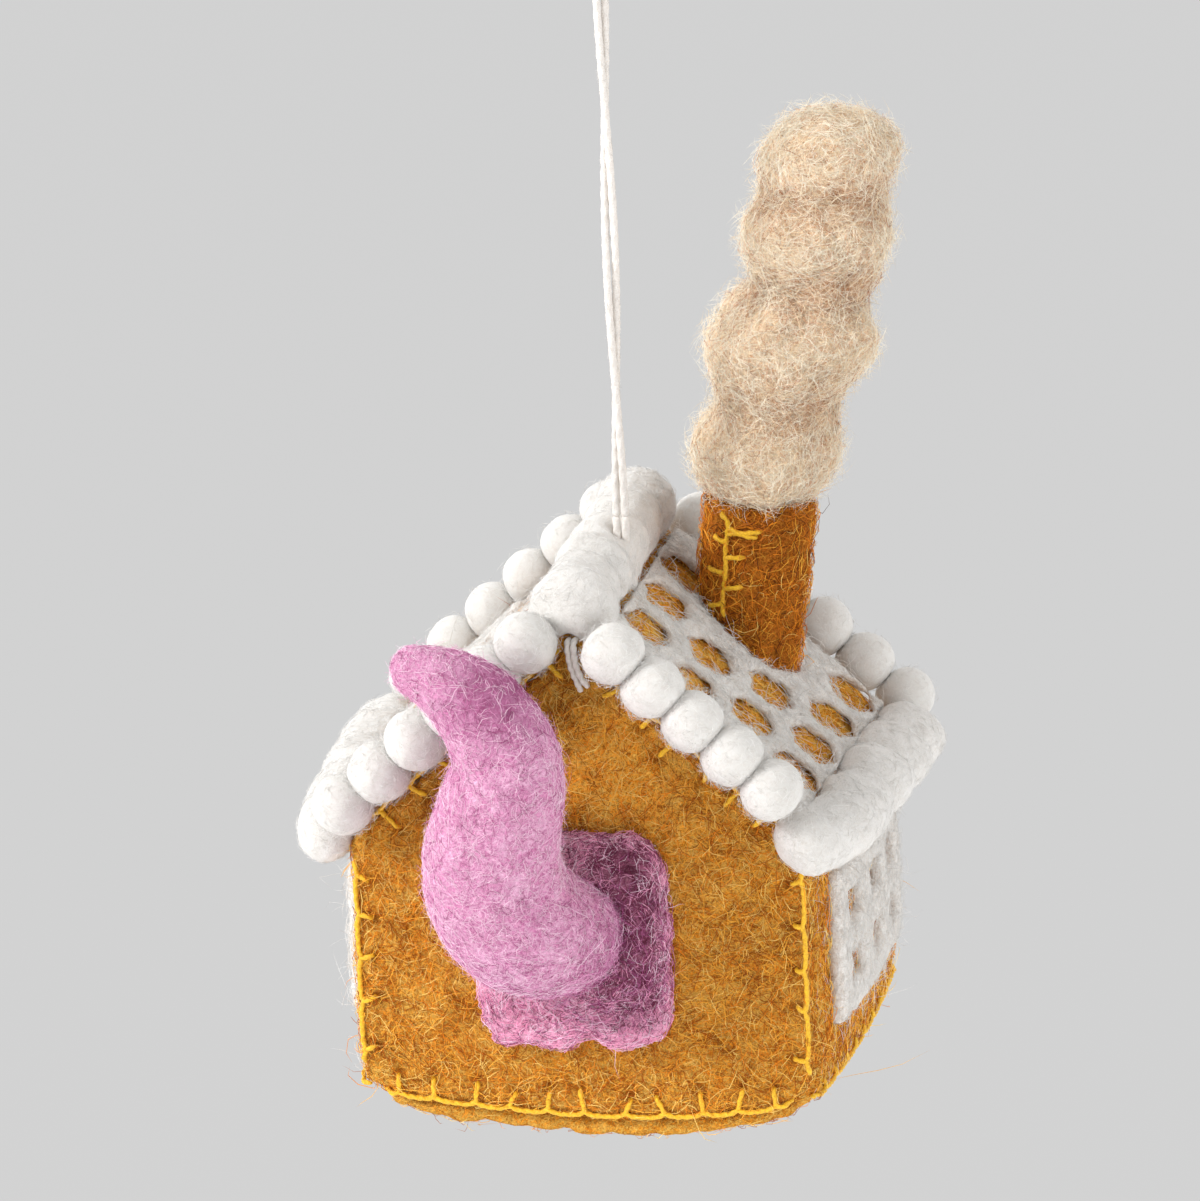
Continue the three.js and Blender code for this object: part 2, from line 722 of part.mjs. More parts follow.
const house = new THREE.Group();
house.add(
  piece('front_wall', flared(gable()), ginger),
  piece('back_wall', flared(turned(gable())), ginger),
  piece('right_wall', flared(rightWall()), ginger),
  piece('left_wall', flared(turned(rightWall())), ginger),
  piece('base_panel', flared(basePanel()), ginger),
  piece('right_roof', flared(cut(roofSlope(), cordBore())), ginger),
  piece('left_roof', flared(cut(turned(roofSlope()), cordBore())), ginger),
  piece('stuffing', flared(stuffing()), whiteWool),
  piece('right_icing', flared(icingLattice(true)), whiteWool),
  piece('left_icing', flared(mirrored(icingLattice(false))), whiteWool),
  piece('ridge_roll', flared(ridgeRoll()), whiteWool),
  piece('right_eave_roll', flared(eaveRoll(-halfDepth - rightEaveOverhang)), whiteWool),
  piece('left_eave_roll', flared(mirrored(eaveRoll(-rollBackY))), whiteWool),
  ...ballRow('front_right', frontRightBalls, firstBallRight, (geometry) => geometry),
  ...ballRow('front_left', frontLeftBalls, firstBallLeft, mirrored),
  ...ballRow('back_right', backRightBalls, firstBallRight, (geometry) => turned(mirrored(geometry))),
  ...ballRow('back_left', backLeftBalls, firstBallLeft, turned),
  piece('right_window', flared(wallWindow()), whiteWool),
  piece('left_window', flared(mirrored(wallWindow())), whiteWool),
  piece('chimney', flared(chimney()), ginger),
  piece('chimney_seam', flared(chimneySeam()), yellowFloss),
  piece('smoke', flared(smoke()), cream),
  piece('tail_patch', patch(), purple),
  piece('tail', tail(), lilac),
  piece('front_base_seam', flared(frontBaseSeam()), yellowFloss),
  piece('back_base_seam', flared(turned(frontBaseSeam())), yellowFloss),
  piece('right_base_seam', flared(sideBaseSeam()), yellowFloss),
  piece('left_base_seam', flared(turned(sideBaseSeam())), yellowFloss),
  piece('front_right_seam', flared(frontRightSeam()), yellowFloss),
  piece('front_left_seam', flared(mirrored(frontRightSeam())), yellowFloss),
  piece('back_left_seam', flared(turned(frontRightSeam())), yellowFloss),
  piece('back_right_seam', flared(turned(mirrored(frontRightSeam()))), yellowFloss),
  piece('front_gable_seam', flared(frontGableSeam()), yellowFloss),
  piece('back_gable_seam', flared(turned(frontGableSeam())), yellowFloss),
  piece('ball_tie', ballTie(), cotton),
  piece('cord_root', cordRoot(), cotton),
);
house.position.set(-cordX, -cordY, -cordLength - cordPivotRise - ridgeCrestZ);

const ornament = new THREE.Group();
ornament.add(
  piece('cord_eye', cordEye(), cotton),
  piece('cord_right_strand', tube(new Strand(1), strandSteps), cotton),
  piece('cord_left_strand', tube(new Strand(-1), strandSteps), cotton),
  house,
);

export default ornament;
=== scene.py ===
import json
import math

import bpy
import numpy as np
from mathutils import Matrix, Vector
from mathutils.bvhtree import BVHTree

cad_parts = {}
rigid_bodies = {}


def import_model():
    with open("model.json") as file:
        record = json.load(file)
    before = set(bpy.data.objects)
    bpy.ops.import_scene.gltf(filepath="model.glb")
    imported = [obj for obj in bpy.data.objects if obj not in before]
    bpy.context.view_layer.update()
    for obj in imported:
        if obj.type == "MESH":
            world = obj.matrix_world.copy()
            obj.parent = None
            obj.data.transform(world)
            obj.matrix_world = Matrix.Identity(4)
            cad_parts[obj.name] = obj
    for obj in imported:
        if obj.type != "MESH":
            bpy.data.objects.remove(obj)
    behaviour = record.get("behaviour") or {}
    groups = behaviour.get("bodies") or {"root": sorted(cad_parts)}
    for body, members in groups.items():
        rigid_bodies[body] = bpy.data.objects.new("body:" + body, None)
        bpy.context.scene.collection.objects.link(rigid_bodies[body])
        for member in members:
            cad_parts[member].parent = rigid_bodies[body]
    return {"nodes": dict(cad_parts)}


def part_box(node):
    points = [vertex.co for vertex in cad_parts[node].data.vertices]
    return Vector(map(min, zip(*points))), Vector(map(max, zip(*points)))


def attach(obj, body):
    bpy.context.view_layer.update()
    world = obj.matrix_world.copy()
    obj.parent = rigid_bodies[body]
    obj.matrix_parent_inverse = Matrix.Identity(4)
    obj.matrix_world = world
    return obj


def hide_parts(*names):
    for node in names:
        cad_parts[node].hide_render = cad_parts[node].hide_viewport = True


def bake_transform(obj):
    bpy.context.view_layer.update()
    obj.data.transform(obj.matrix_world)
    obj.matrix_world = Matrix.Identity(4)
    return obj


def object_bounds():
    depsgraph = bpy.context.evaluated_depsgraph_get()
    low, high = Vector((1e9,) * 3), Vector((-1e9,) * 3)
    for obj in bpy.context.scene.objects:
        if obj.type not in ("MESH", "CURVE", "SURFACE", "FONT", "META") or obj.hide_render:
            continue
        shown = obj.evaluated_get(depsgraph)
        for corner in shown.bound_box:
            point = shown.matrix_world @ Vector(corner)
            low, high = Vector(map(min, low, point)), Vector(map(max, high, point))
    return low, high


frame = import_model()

cadLow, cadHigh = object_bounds()
scene = bpy.context.scene
scene.view_settings.view_transform = "Standard"
mm = 0.001

# the house's own axes start at the middle of its walls, at their lower edge
frontLow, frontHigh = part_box("front_wall")
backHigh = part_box("back_wall")[1]
house = np.array(((frontLow.x + frontHigh.x) / 2, (frontLow.y + backHigh.y) / 2, frontLow.z))
houseSizes = {"frontWidth": 62.5, "backWidth": 67.5, "depth": 58, "wall": 35, "apex": 64}
middleWidth = (houseSizes["frontWidth"] + houseSizes["backWidth"]) / 2
halfWidth = middleWidth / 2
halfDepth = houseSizes["depth"] / 2
slope = math.atan2(houseSizes["apex"] - houseSizes["wall"], halfWidth)
downSlope = np.array((math.cos(slope), 0, -math.sin(slope)))
outOfSlope = np.array((math.sin(slope), 0, math.cos(slope)))

# camera, in degrees and mm from the house's own axes
cameraSettings = {"azimuth": 11.17, "elevation": 16.91, "roll": -2.29, "distance": 1199.15,
                  "across": -3.55, "up": 59.49, "lens": 254.97, "sensor": 36, "clip": (0.05, 60)}


def addCamera(s):
    a, e, r = (math.radians(s[key]) for key in ("azimuth", "elevation", "roll"))
    back = Vector((math.sin(a) * math.cos(e), -math.cos(a) * math.cos(e), math.sin(e)))
    level = Vector((math.cos(a), math.sin(a), 0))
    rise = back.cross(level)
    right = level * math.cos(r) + rise * math.sin(r)
    up = rise * math.cos(r) - level * math.sin(r)
    spot = Vector(house) + (right * s["across"] + up * s["up"] + back * s["distance"]) * mm
    bpy.ops.object.camera_add()
    made = bpy.context.object
    made.name = "camera"
    made.matrix_world = Matrix.Translation(spot) @ Matrix((right, up, back)).transposed().to_4x4()
    made.data.lens = s["lens"]
    made.data.sensor_width = s["sensor"]
    made.data.clip_start, made.data.clip_end = s["clip"]
    scene.camera = made


addCamera(cameraSettings)
print("camera set")


# materials from expressions
def srgb(red, green, blue):  # a colour as picked on the screen, 0 to 255
    parts = [c / 255 for c in (red, green, blue)]
    linear = [c / 12.92 if c <= 0.04045 else ((c + 0.055) / 1.055) ** 2.4 for c in parts]
    return (*linear, 1.0)


class Link:  # a socket that can be used in an expression
    def __init__(self, finish, socket):
        self.finish, self.socket = finish, socket

    def math(self, operation, *others):
        values = dict(enumerate((self, *others)))
        return self.finish.node("ShaderNodeMath", {"operation": operation}, values)

    def __add__(self, other):
        return self.math("ADD", other)

    def __sub__(self, other):
        return self.math("SUBTRACT", other)

    def __rsub__(self, other):
        return self.math("MULTIPLY_ADD", -1.0, other)

    def __mul__(self, other):
        return self.math("MULTIPLY", other)

    def __truediv__(self, other):
        return self.math("DIVIDE", other)

    def __abs__(self):
        return self.math("ABSOLUTE")

    __radd__ = __add__
    __rmul__ = __mul__

    def held(self):  # kept between 0 and 1
        settings = {"operation": "MULTIPLY", "use_clamp": True}
        return self.finish.node("ShaderNodeMath", settings, {0: self, 1: 1.0})


class Finish:  # a material, or the world, and the nodes in it
    def __init__(self, owner, end):
        owner.use_nodes = True
        self.owner, self.tree = owner, owner.node_tree
        self.end = next(n for n in self.tree.nodes if n.bl_idname == end)

    def node(self, kind, settings=None, values=None, out=0):
        made = self.tree.nodes.new(kind)
        for key, value in (settings or {}).items():
            setattr(made, key, value)
        for key, value in (values or {}).items():
            self.feed(made.inputs[key], value)
        return Link(self, made.outputs[out])

    def feed(self, socket, value):
        if isinstance(value, Link):
            self.tree.links.new(value.socket, socket)
        else:
            socket.default_value = value

    def mix(self, share, first, second):
        return self.node("ShaderNodeMix", {"data_type": "RGBA"}, {0: share, 6: first, 7: second}, out=2)

    def give(self, **values):  # sockets of the shader, with _ for a space
        for key, value in values.items():
            self.feed(self.end.inputs[key.replace("_", " ")], value)


# backdrop and lamps, the lamps in metres from the object's middle
stageSettings = {"grey": (209, 209, 209), "glow": (196, 196, 196), "dim": (92, 92, 92),
                 "bounce": (140, 140, 140), "sky": 0.82, "floorZ": -0.9, "floorSize": 60}
lampSettings = {
    "key": {"at": (-0.89, -0.55, 0.55), "size": 0.26, "power": 12.4},
    "fill": {"at": (0.88, -0.28, -0.10), "size": 0.60, "power": 3.0},
    "low": {"at": (-0.10, -0.80, -0.60), "size": 0.80, "power": 4.0},
    "rim": {"at": (-0.25, 0.75, 0.55), "size": 0.50, "power": 1.2},
}


def addStage(s):
    grey = srgb(*s["grey"])
    sky = Finish(bpy.data.worlds.new("studio"), "ShaderNodeBackground")
    scene.world = sky.owner
    path = sky.node("ShaderNodeLightPath")
    seen = path + Link(sky, path.socket.node.outputs["Is Glossy Ray"])
    seen = (seen + Link(sky, path.socket.node.outputs["Is Transmission Ray"])).held()
    sky.give(Color=sky.mix(seen, (1, 1, 1, 1), grey), Strength=s["sky"] + seen * (1 - s["sky"]))
    bpy.ops.mesh.primitive_plane_add(size=s["floorSize"], location=(0, 0, s["floorZ"]))
    floor = bpy.context.object
    floor.name = "floor"
    paper = Finish(bpy.data.materials.new("paper"), "ShaderNodeBsdfPrincipled")
    view = paper.node("ShaderNodeLightPath")
    glow = paper.mix(view, srgb(*s["bounce"]), srgb(*s["glow"]))
    paper.give(Base_Color=paper.mix(view, grey, srgb(*s["dim"])), Roughness=0.9, Specular_IOR_Level=0.0)
    paper.give(Emission_Color=glow, Emission_Strength=1.0)
    floor.data.materials.append(paper.owner)


def addLamp(name, at, size, power):
    centre = Vector((cadLow + cadHigh) / 2)
    bpy.ops.object.light_add(type="AREA", location=centre + Vector(at))
    lamp = bpy.context.object
    lamp.name = name
    lamp.rotation_euler = (-Vector(at)).to_track_quat("-Z", "Y").to_euler()
    lamp.data.size = size
    lamp.data.energy = power


bpy.ops.object.select_all(action="DESELECT")
addStage(stageSettings)
for lampName, lamp in lampSettings.items():
    addLamp(lampName, **lamp)
print("stage and lamps set")

# wool: each lay of strands has a turn and a size in mm, each cloud a size in mm, a detail and a twist
woolSettings = {
    "hairs": [((0.3, 0.5, 0.2), 1.9), ((1.2, 0.4, 2.0), 1.5),
              ((2.1, 1.3, 0.7), 1.2), ((0.6, 2.4, 1.5), 1.0)],
    "gaps": [((2.6, 0.9, 1.1), 1.4), ((1.7, 2.2, 0.4), 1.8)],
    "stretch": (1, 0.45, 1), "layGrain": (1.5, 0.9), "lineWidth": 0.03,
    "tangle": (0.5, 3.0, 1.2), "tangleFrom": 0.25, "tangleGain": 3.0,
    "blotch": (4.5, 2.0, 0.6), "blotchFrom": 0.45, "blotchGain": 3.0, "blotchShare": 0.45,
    "shadeLeast": 0.55, "shadeTangle": 0.8, "hairHeight": 0.6, "gapDepth": 0.5, "depth": 0.5,
    "softRadius": (1.0, 0.95, 0.9), "softReach": 1.5}
flossLook = {"grain": {"Scale": 3500, "Detail": 3.0, "Distortion": 1.0}, "grainFrom": 0.3, "grainGain": 2.2,
             "bump": {"Strength": 0.3, "Distance": 0.0002}}


def woolFinish(name, deep, body, bright, hair=0.7, gap=0.5, scale=1.0, bump=0.8, soft=0.0):
    s = woolSettings
    deep, body, bright = (srgb(*colour) for colour in (deep, body, bright))
    wool = Finish(bpy.data.materials.new(name), "ShaderNodeBsdfPrincipled")
    spot = wool.node("ShaderNodeTexCoord", out="Object")

    def cloud(place, size, detail, twist):
        values = {"Vector": place, "Scale": 1 / (size * mm), "Detail": detail, "Distortion": twist}
        return wool.node("ShaderNodeTexNoise", None, values)

    def strands(lays):  # thin winding lines, where layers of noise pass their middle value
        lines = None
        for turn, size in lays:
            values = {"Vector": spot, "Rotation": turn, "Scale": s["stretch"]}
            lay = cloud(wool.node("ShaderNodeMapping", None, values), size * scale, *s["layGrain"])
            line = (1 - abs(lay - 0.5) / s["lineWidth"]).held()
            lines = line if lines is None else lines.math("MAXIMUM", line)
        return lines

    hairs = strands(s["hairs"])
    gaps = strands(s["gaps"])
    tangleSize, *tangleGrain = s["tangle"]
    tangle = cloud(spot, tangleSize * scale, *tangleGrain)
    blotch = cloud(spot, *s["blotch"])
    shade = wool.node("ShaderNodeAttribute", {"attribute_name": "shade"}, out="Fac")
    ground = wool.mix(((tangle - s["tangleFrom"]) * s["tangleGain"]).held(), deep, body)
    pale = ((blotch - s["blotchFrom"]) * s["blotchGain"]).held() * s["blotchShare"]
    ground = wool.mix(pale, ground, bright)
    ground = wool.mix(gaps * gap, ground, deep)
    colour = wool.mix(hairs * hair, ground, bright)
    # the shade attribute, mostly painted shade and light, darkens the wool towards the deep colour
    dark = (shade * (s["shadeLeast"] + tangle * s["shadeTangle"])).held()
    colour = wool.mix(dark, colour, deep)
    height = hairs * s["hairHeight"] + tangle - gaps * s["gapDepth"]
    values = {"Strength": bump, "Distance": s["depth"] * mm, "Height": height}
    relief = wool.node("ShaderNodeBump", None, values)
    wool.give(Base_Color=colour, Normal=relief, Roughness=0.95, Specular_IOR_Level=0.1)
    wool.give(Subsurface_Weight=soft, Subsurface_Radius=s["softRadius"])
    wool.give(Subsurface_Scale=s["softReach"] * mm)
    return wool.owner


def hairFinish(name, colour):
    hair = Finish(bpy.data.materials.new(name), "ShaderNodeBsdfPrincipled")
    hair.give(Base_Color=srgb(*colour), Roughness=0.8, Specular_IOR_Level=0.25)
    return hair.owner


def flossFinish(name, deep, body, roughness):
    s = flossLook
    floss = Finish(bpy.data.materials.new(name), "ShaderNodeBsdfPrincipled")
    spot = floss.node("ShaderNodeTexCoord", out="Object")
    grain = floss.node("ShaderNodeTexNoise", None, {"Vector": spot, **s["grain"]})
    colour = floss.mix(((grain - s["grainFrom"]) * s["grainGain"]).held(), srgb(*deep), srgb(*body))
    relief = floss.node("ShaderNodeBump", None, {**s["bump"], "Height": grain})
    floss.give(Base_Color=colour, Normal=relief, Roughness=roughness, Sheen_Weight=0.1)
    return floss.owner


gingerFelt = woolFinish("ginger_felt", (146, 72, 6), (255, 172, 54), (255, 214, 108), gap=0.45, bump=0.7)
rustFelt = woolFinish("rust_felt", (104, 48, 6), (184, 103, 26), (228, 148, 54))
whiteWool = woolFinish("white_wool", (206, 201, 195), (217, 214, 210), (226, 224, 221),
                       hair=0.4, gap=0.12, bump=0.3, soft=0.5)
icingWool = woolFinish("icing_wool", (208, 194, 180), (234, 230, 225), (242, 240, 237),
                       hair=0.6, gap=0.3, bump=0.6, soft=0.3)
ballWool = woolFinish("ball_wool", (208, 203, 198), (216, 214, 210), (223, 221, 218),
                      hair=0.2, gap=0.06, bump=0.15, soft=0.6)
smokeWool = woolFinish("smoke_wool", (206, 154, 114), (242, 216, 183), (255, 244, 223),
                       gap=0.2, scale=1.3, bump=0.7, soft=0.3)
lilacWool = woolFinish("lilac_wool", (168, 88, 134), (216, 146, 184), (242, 196, 222), gap=0.4, bump=0.55)
purpleWool = woolFinish("purple_wool", (122, 48, 76), (252, 176, 210), (255, 208, 228), gap=0.3, bump=0.5)
yellowFloss = flossFinish("yellow_floss", (206, 146, 6), (250, 204, 28), 0.6)
cotton = flossFinish("cotton", (216, 208, 200), (234, 231, 227), 0.85)
hairTones = {name: hairFinish("hair_" + name, colour) for name, colour in {
    "straw": (255, 218, 122), "honey": (255, 190, 70), "ginger": (244, 150, 36), "bark": (172, 90, 14),
    "rust": (210, 122, 36), "soot": (92, 42, 8),
    "snow": (232, 230, 227), "milk": (214, 210, 205),
    "cream": (255, 247, 229), "oat": (251, 228, 194), "rose": (232, 188, 156), "umber": (192, 140, 104),
    "petal": (252, 222, 238), "lilac": (232, 164, 204), "mauve": (172, 88, 136),
    "pink": (254, 178, 212), "wine": (124, 52, 80),
    "cotton": (236, 233, 229)}.items()}
print("finishes made")


# small helpers for shapes
def ramp(values, start, over):  # 0 up to start, then rising to 1
    return np.clip((values - start) / over, 0, 1)


def bell(values, middle, wide):  # 1 at the middle, fading to both sides
    return np.exp(-((values - middle) / wide) ** 2)


def unit(vectors):
    return vectors / np.maximum(np.linalg.norm(vectors, axis=-1, keepdims=True), 1e-12)


def only(piece):
    bpy.ops.object.select_all(action="DESELECT")
    piece.select_set(True)
    bpy.context.view_layer.objects.active = piece


def finishWith(piece, kind, **settings):
    only(piece)
    step = piece.modifiers.new(kind.lower(), kind)
    for key, value in settings.items():
        setattr(step, key, value)
    bpy.ops.object.modifier_apply(modifier=step.name)


def spotsOf(piece, what="co"):
    values = np.empty(len(piece.data.vertices) * 3, np.float32)
    piece.data.vertices.foreach_get(what, values)
    return values.reshape(-1, 3).astype(float)


def placeAt(piece, spots):
    piece.data.vertices.foreach_set("co", spots.astype(np.float32).ravel())
    piece.data.update()


def reshape(piece, rule, swell=0.0):  # rule takes and gives points in mm on the house's axes
    spots = spotsOf(piece) + spotsOf(piece, "normal") * swell * mm
    placeAt(piece, rule((spots - house) / mm) * mm + house)


def shadeBy(piece, rule):  # how dark the wool is drawn, 0 to 1: mostly painted shade and light, darker mauve wool on the tail's bend
    values = np.clip(rule((spotsOf(piece) - house) / mm), 0, 1)
    layer = piece.data.attributes.new("shade", "FLOAT", "POINT")
    layer.data.foreach_set("value", values.astype(np.float32))


def lump(piece, size, height):  # soft unevenness, in mm
    grain = bpy.data.textures.new(f"{piece.name}_lumps", "CLOUDS")
    grain.noise_scale = size * mm
    grain.noise_depth = 1
    finishWith(piece, "DISPLACE", texture=grain, texture_coords="LOCAL", strength=height * mm,
               mid_level=0.5)


def settle(piece, finish, nodes):  # a finished piece of the house, and what it stands for
    piece.data.materials.clear()
    piece.data.materials.append(finish)
    piece.data.shade_smooth()
    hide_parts(*nodes)
    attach(piece, "house")


def weldedCopy(node, name):  # a CAD node's mesh with its loose triangles joined
    made = bpy.data.objects.new(name, frame["nodes"][node].data.copy())
    scene.collection.objects.link(made)
    only(made)
    bpy.ops.object.mode_set(mode="EDIT")
    bpy.ops.mesh.select_all(action="SELECT")
    bpy.ops.mesh.remove_doubles(threshold=1e-6)
    bpy.ops.mesh.normals_make_consistent(inside=False)
    bpy.ops.object.mode_set(mode="OBJECT")
    return made


def plugWith(made, plugs):  # tufts that close the wool round the cord
    for x, y, z, radius in plugs:
        bpy.ops.object.select_all(action="DESELECT")
        spot = np.array((x, y, z)) * mm + house
        bpy.ops.mesh.primitive_ico_sphere_add(subdivisions=2, radius=radius * mm, location=spot)
        made.select_set(True)
        bpy.context.view_layer.objects.active = made
        bpy.ops.object.join()


# a felted copy of a CAD node: welded, remeshed fine, softened, then pushed about
def feltCopy(node, name, s, rule=None):
    made = weldedCopy(node, name)
    plugWith(made, s.get("plugs", ()))
    if s.get("round"):
        finishWith(made, "SUBSURF", levels=s["round"], render_levels=s["round"])
    finishWith(made, "REMESH", mode="VOXEL", voxel_size=s["voxel"] * mm)
    finishWith(made, "SMOOTH", factor=0.5, iterations=s["soften"])
    reshape(made, rule or (lambda spots: spots), s["swell"])
    for size, height in s["lumps"]:
        lump(made, size, height)
    return made


def meshPiece(name, spots, faces, finishes, tones=None):  # tones say which finish each face takes
    data = bpy.data.meshes.new(name)
    data.vertices.add(len(spots))
    data.vertices.foreach_set("co", np.asarray(spots, np.float32).ravel())
    corners = faces.shape[1]
    data.loops.add(faces.size)
    data.loops.foreach_set("vertex_index", faces.astype(np.int32).ravel())
    data.polygons.add(len(faces))
    data.polygons.foreach_set("loop_start", np.arange(0, faces.size, corners, dtype=np.int32))
    for finish in finishes:
        data.materials.append(finish)
    if tones is not None:
        data.polygons.foreach_set("material_index", tones.astype(np.int32))
    data.update(calc_edges=True)
    data.shade_smooth()
    made = bpy.data.objects.new(name, data)
    scene.collection.objects.link(made)
    return made


# loose fibres: what a piece's own settings leave out, and the shape that all of them share
fibreDefaults = {"edge": -0.15, "zones": (), "vary": 0.35, "wave": 0.04, "bend": 1.4, "free": 0.0}
fibreShape = {"looseRise": (0.25, 1), "flatRise": (0.1, 1), "leastCurl": 0.01, "waves": 7, "phase": 6.3,
              "sink": 0.08, "taper": (0.65, 0.35), "taperSpan": (0.15, 0.9), "thickness": (0.7, 1.25),
              "corners": (0, 2.0944, 4.1888), "darkShare": 0.8}


def surfaceOf(sources):  # the triangles of some pieces, and a tree to find the nearest in
    corners, ups, shades, spots, faces = [], [], [], [], []
    held = 0
    for piece in sources:
        data = piece.data
        data.calc_loop_triangles()
        order = np.empty(len(data.loop_triangles) * 3, np.int32)
        data.loop_triangles.foreach_get("vertices", order)
        order = order.reshape(-1, 3)
        dark = np.zeros(len(data.vertices), np.float32)
        if "shade" in data.attributes:
            data.attributes["shade"].data.foreach_get("value", dark)
        spots.append(spotsOf(piece))
        faces.append(order + held)
        held += len(data.vertices)
        corners.append(spots[-1][order])
        ups.append(spotsOf(piece, "normal")[order])
        shades.append(dark[order])
    tree = BVHTree.FromPolygons(np.concatenate(spots).tolist(), np.concatenate(faces).tolist())
    corners, ups, shades = (np.concatenate(x) for x in (corners, ups, shades))
    return {"corners": corners, "ups": ups, "shades": shades, "tree": tree}


def openArea(corners, s):  # each triangle's area, or none where no fibre may start
    flat = np.cross(corners[:, 1] - corners[:, 0], corners[:, 2] - corners[:, 0])
    area = np.linalg.norm(flat, axis=1)
    if "facing" in s:
        area = area * (unit(flat) @ np.array(s["facing"]) > s["edge"])
    for point, reach, keep in s["zones"]:
        away = np.linalg.norm((corners.mean(1) - house) / mm - np.array(point), axis=1)
        area = area * ((away < reach) == keep)
    return area


def fibreRoots(surface, s, rng):  # where each fibre starts, which way is out, how dark the wool is drawn there, mostly painted shade
    area = openArea(surface["corners"], s)
    pick = rng.choice(len(area), s["count"], p=area / area.sum())
    u, v = rng.random((2, s["count"]))
    u, v = np.where(u + v > 1, 1 - u, u), np.where(u + v > 1, 1 - v, v)
    share = np.stack((1 - u - v, u, v), axis=1)
    root = (surface["corners"][pick] * share[..., None]).sum(1)
    up = unit((surface["ups"][pick] * share[..., None]).sum(1))
    return root, up, (surface["shades"][pick] * share).sum(1)


def fibreLines(root, up, tree, s, rng):  # the points that each fibre follows
    count, shape = s["count"], fibreShape
    aim = rng.normal(size=(count, 3))
    if "flow" in s:
        sign = np.where(rng.random(count) < 0.5, -1, 1)[:, None]
        aim = s["flow"]((root - house) / mm) * sign + aim * s["stray"]
    along = unit(aim - up * (aim * up).sum(1, keepdims=True))
    side = np.cross(up, along)
    length = s["length"] * mm * np.exp(rng.normal(0, s["vary"], count))
    curl = rng.normal(0, s["curl"], count)
    curl = np.where(np.abs(curl) < shape["leastCurl"], shape["leastCurl"], curl)[:, None]
    loose = rng.random(count) < s["loose"]
    looseLift = rng.uniform(*shape["looseRise"], count) * s["rise"]
    flatLift = rng.uniform(*shape["flatRise"], count) * s["lift"]
    lift = np.where(loose, looseLift, flatLift) * mm
    t = np.linspace(0, 1, s["rings"] + 2)[None, :]
    forward = np.sin(curl * t) / curl
    phase = rng.uniform(0, shape["phase"], count)[:, None]
    sideways = (1 - np.cos(curl * t)) / curl + s["wave"] * np.sin(shape["waves"] * t + phase)
    height = np.where(loose[:, None], t ** s["bend"], 4 * t * (1 - t)) * lift[:, None] - shape["sink"] * mm
    line = root[:, None] + length[:, None, None] * (
        along[:, None] * forward[..., None] + side[:, None] * sideways[..., None])
    rise = np.repeat(up[:, None], t.shape[1], axis=1)
    for i in np.flatnonzero(rng.random(count) >= s["free"]):  # these hug the surface round its edges
        for j in range(1, t.shape[1]):
            line[i, j], rise[i, j] = tree.find_nearest(line[i, j])[:2]
    return line + rise * height[..., None]


def fibreSpots(line, up, s, rng):  # a closed three-sided strand round each line, tapered at both ends
    count, rings, shape = s["count"], s["rings"], fibreShape
    aimed = unit(np.gradient(line, axis=1))
    across = unit(up[:, None] - aimed * (aimed * up[:, None]).sum(-1, keepdims=True))
    other = np.cross(aimed, across)
    least, more = shape["taper"]
    taper = least + more * np.sin(math.pi * np.linspace(*shape["taperSpan"], rings))
    radius = s["thick"] / 2 * mm * rng.uniform(*shape["thickness"], count)
    thick = radius[:, None, None] * taper[None, :, None]
    ring = []
    for turn in shape["corners"]:
        out = across[:, 1:-1] * math.cos(turn) + other[:, 1:-1] * math.sin(turn)
        ring.append(line[:, 1:-1] + thick * out)
    ring = np.stack(ring, axis=2).reshape(count, rings * 3, 3)
    return np.concatenate((line[:, :1], ring, line[:, -1:]), axis=1)


def fibreFaces(rings):
    faces = []
    last = 3 * rings - 2
    for k in range(3):
        after = (k + 1) % 3
        faces.append((0, 1 + after, 1 + k))
        for low in range(1, last, 3):
            high = low + 3
            faces.append((low + k, low + after, high + after))
            faces.append((low + k, high + after, high + k))
        faces.append((last + k, last + after, last + 3))
    return np.array(faces)


def fuzz(name, sources, s, body="house"):  # all the fibres on some pieces, in one mesh
    s = {**fibreDefaults, **s}
    rng = np.random.default_rng(s["seed"])
    surface = surfaceOf(sources)
    root, up, dark = fibreRoots(surface, s, rng)
    line = fibreLines(root, up, surface["tree"], s, rng)
    spots = fibreSpots(line, up, s, rng)
    faces = fibreFaces(s["rings"])
    starts = np.arange(s["count"]) * spots.shape[1]
    allFaces = (faces[None] + starts[:, None, None]).reshape(-1, 3)
    odds = np.array([odd for _, odd in s["tones"]], float)
    tone = rng.choice(len(odds), s["count"], p=odds / odds.sum())
    # where the wool is drawn dark, mostly painted shade, more fibres take the last and darkest tone
    darkest = rng.random(s["count"]) < dark * fibreShape["darkShare"]
    tone = np.where(darkest, len(odds) - 1, tone)
    finishes = [hairTones[toneName] for toneName, _ in s["tones"]]
    made = meshPiece(name, spots.reshape(-1, 3), allFaces, finishes, np.repeat(tone, len(faces)))
    if body:
        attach(made, body)
    print(f"{name}: {s['count']} fibres")
    return made


# thread and cord: each starts and ends a little thinner
threadShape = {"step": 0.3, "endShare": 0.6, "askew": (0.3, 0.5, 0.81)}


def smoothRoute(points, step=threadShape["step"]):  # a smooth line through the points, in mm
    points = np.asarray(points, float)
    ends = np.concatenate((2 * points[:1] - points[1:2], points, 2 * points[-1:] - points[-2:-1]))
    line = []
    for a, b, c, d in zip(ends, ends[1:], ends[2:], ends[3:]):
        pieces = max(2, int(np.linalg.norm(c - b) / step))
        for t in np.arange(pieces) / pieces:
            line.append(0.5 * (2 * b + (c - a) * t + (2 * a - 5 * b + 4 * c - d) * t * t
                               + (3 * b - a - 3 * c + d) * t ** 3))
    return np.array([*line, points[-1]])


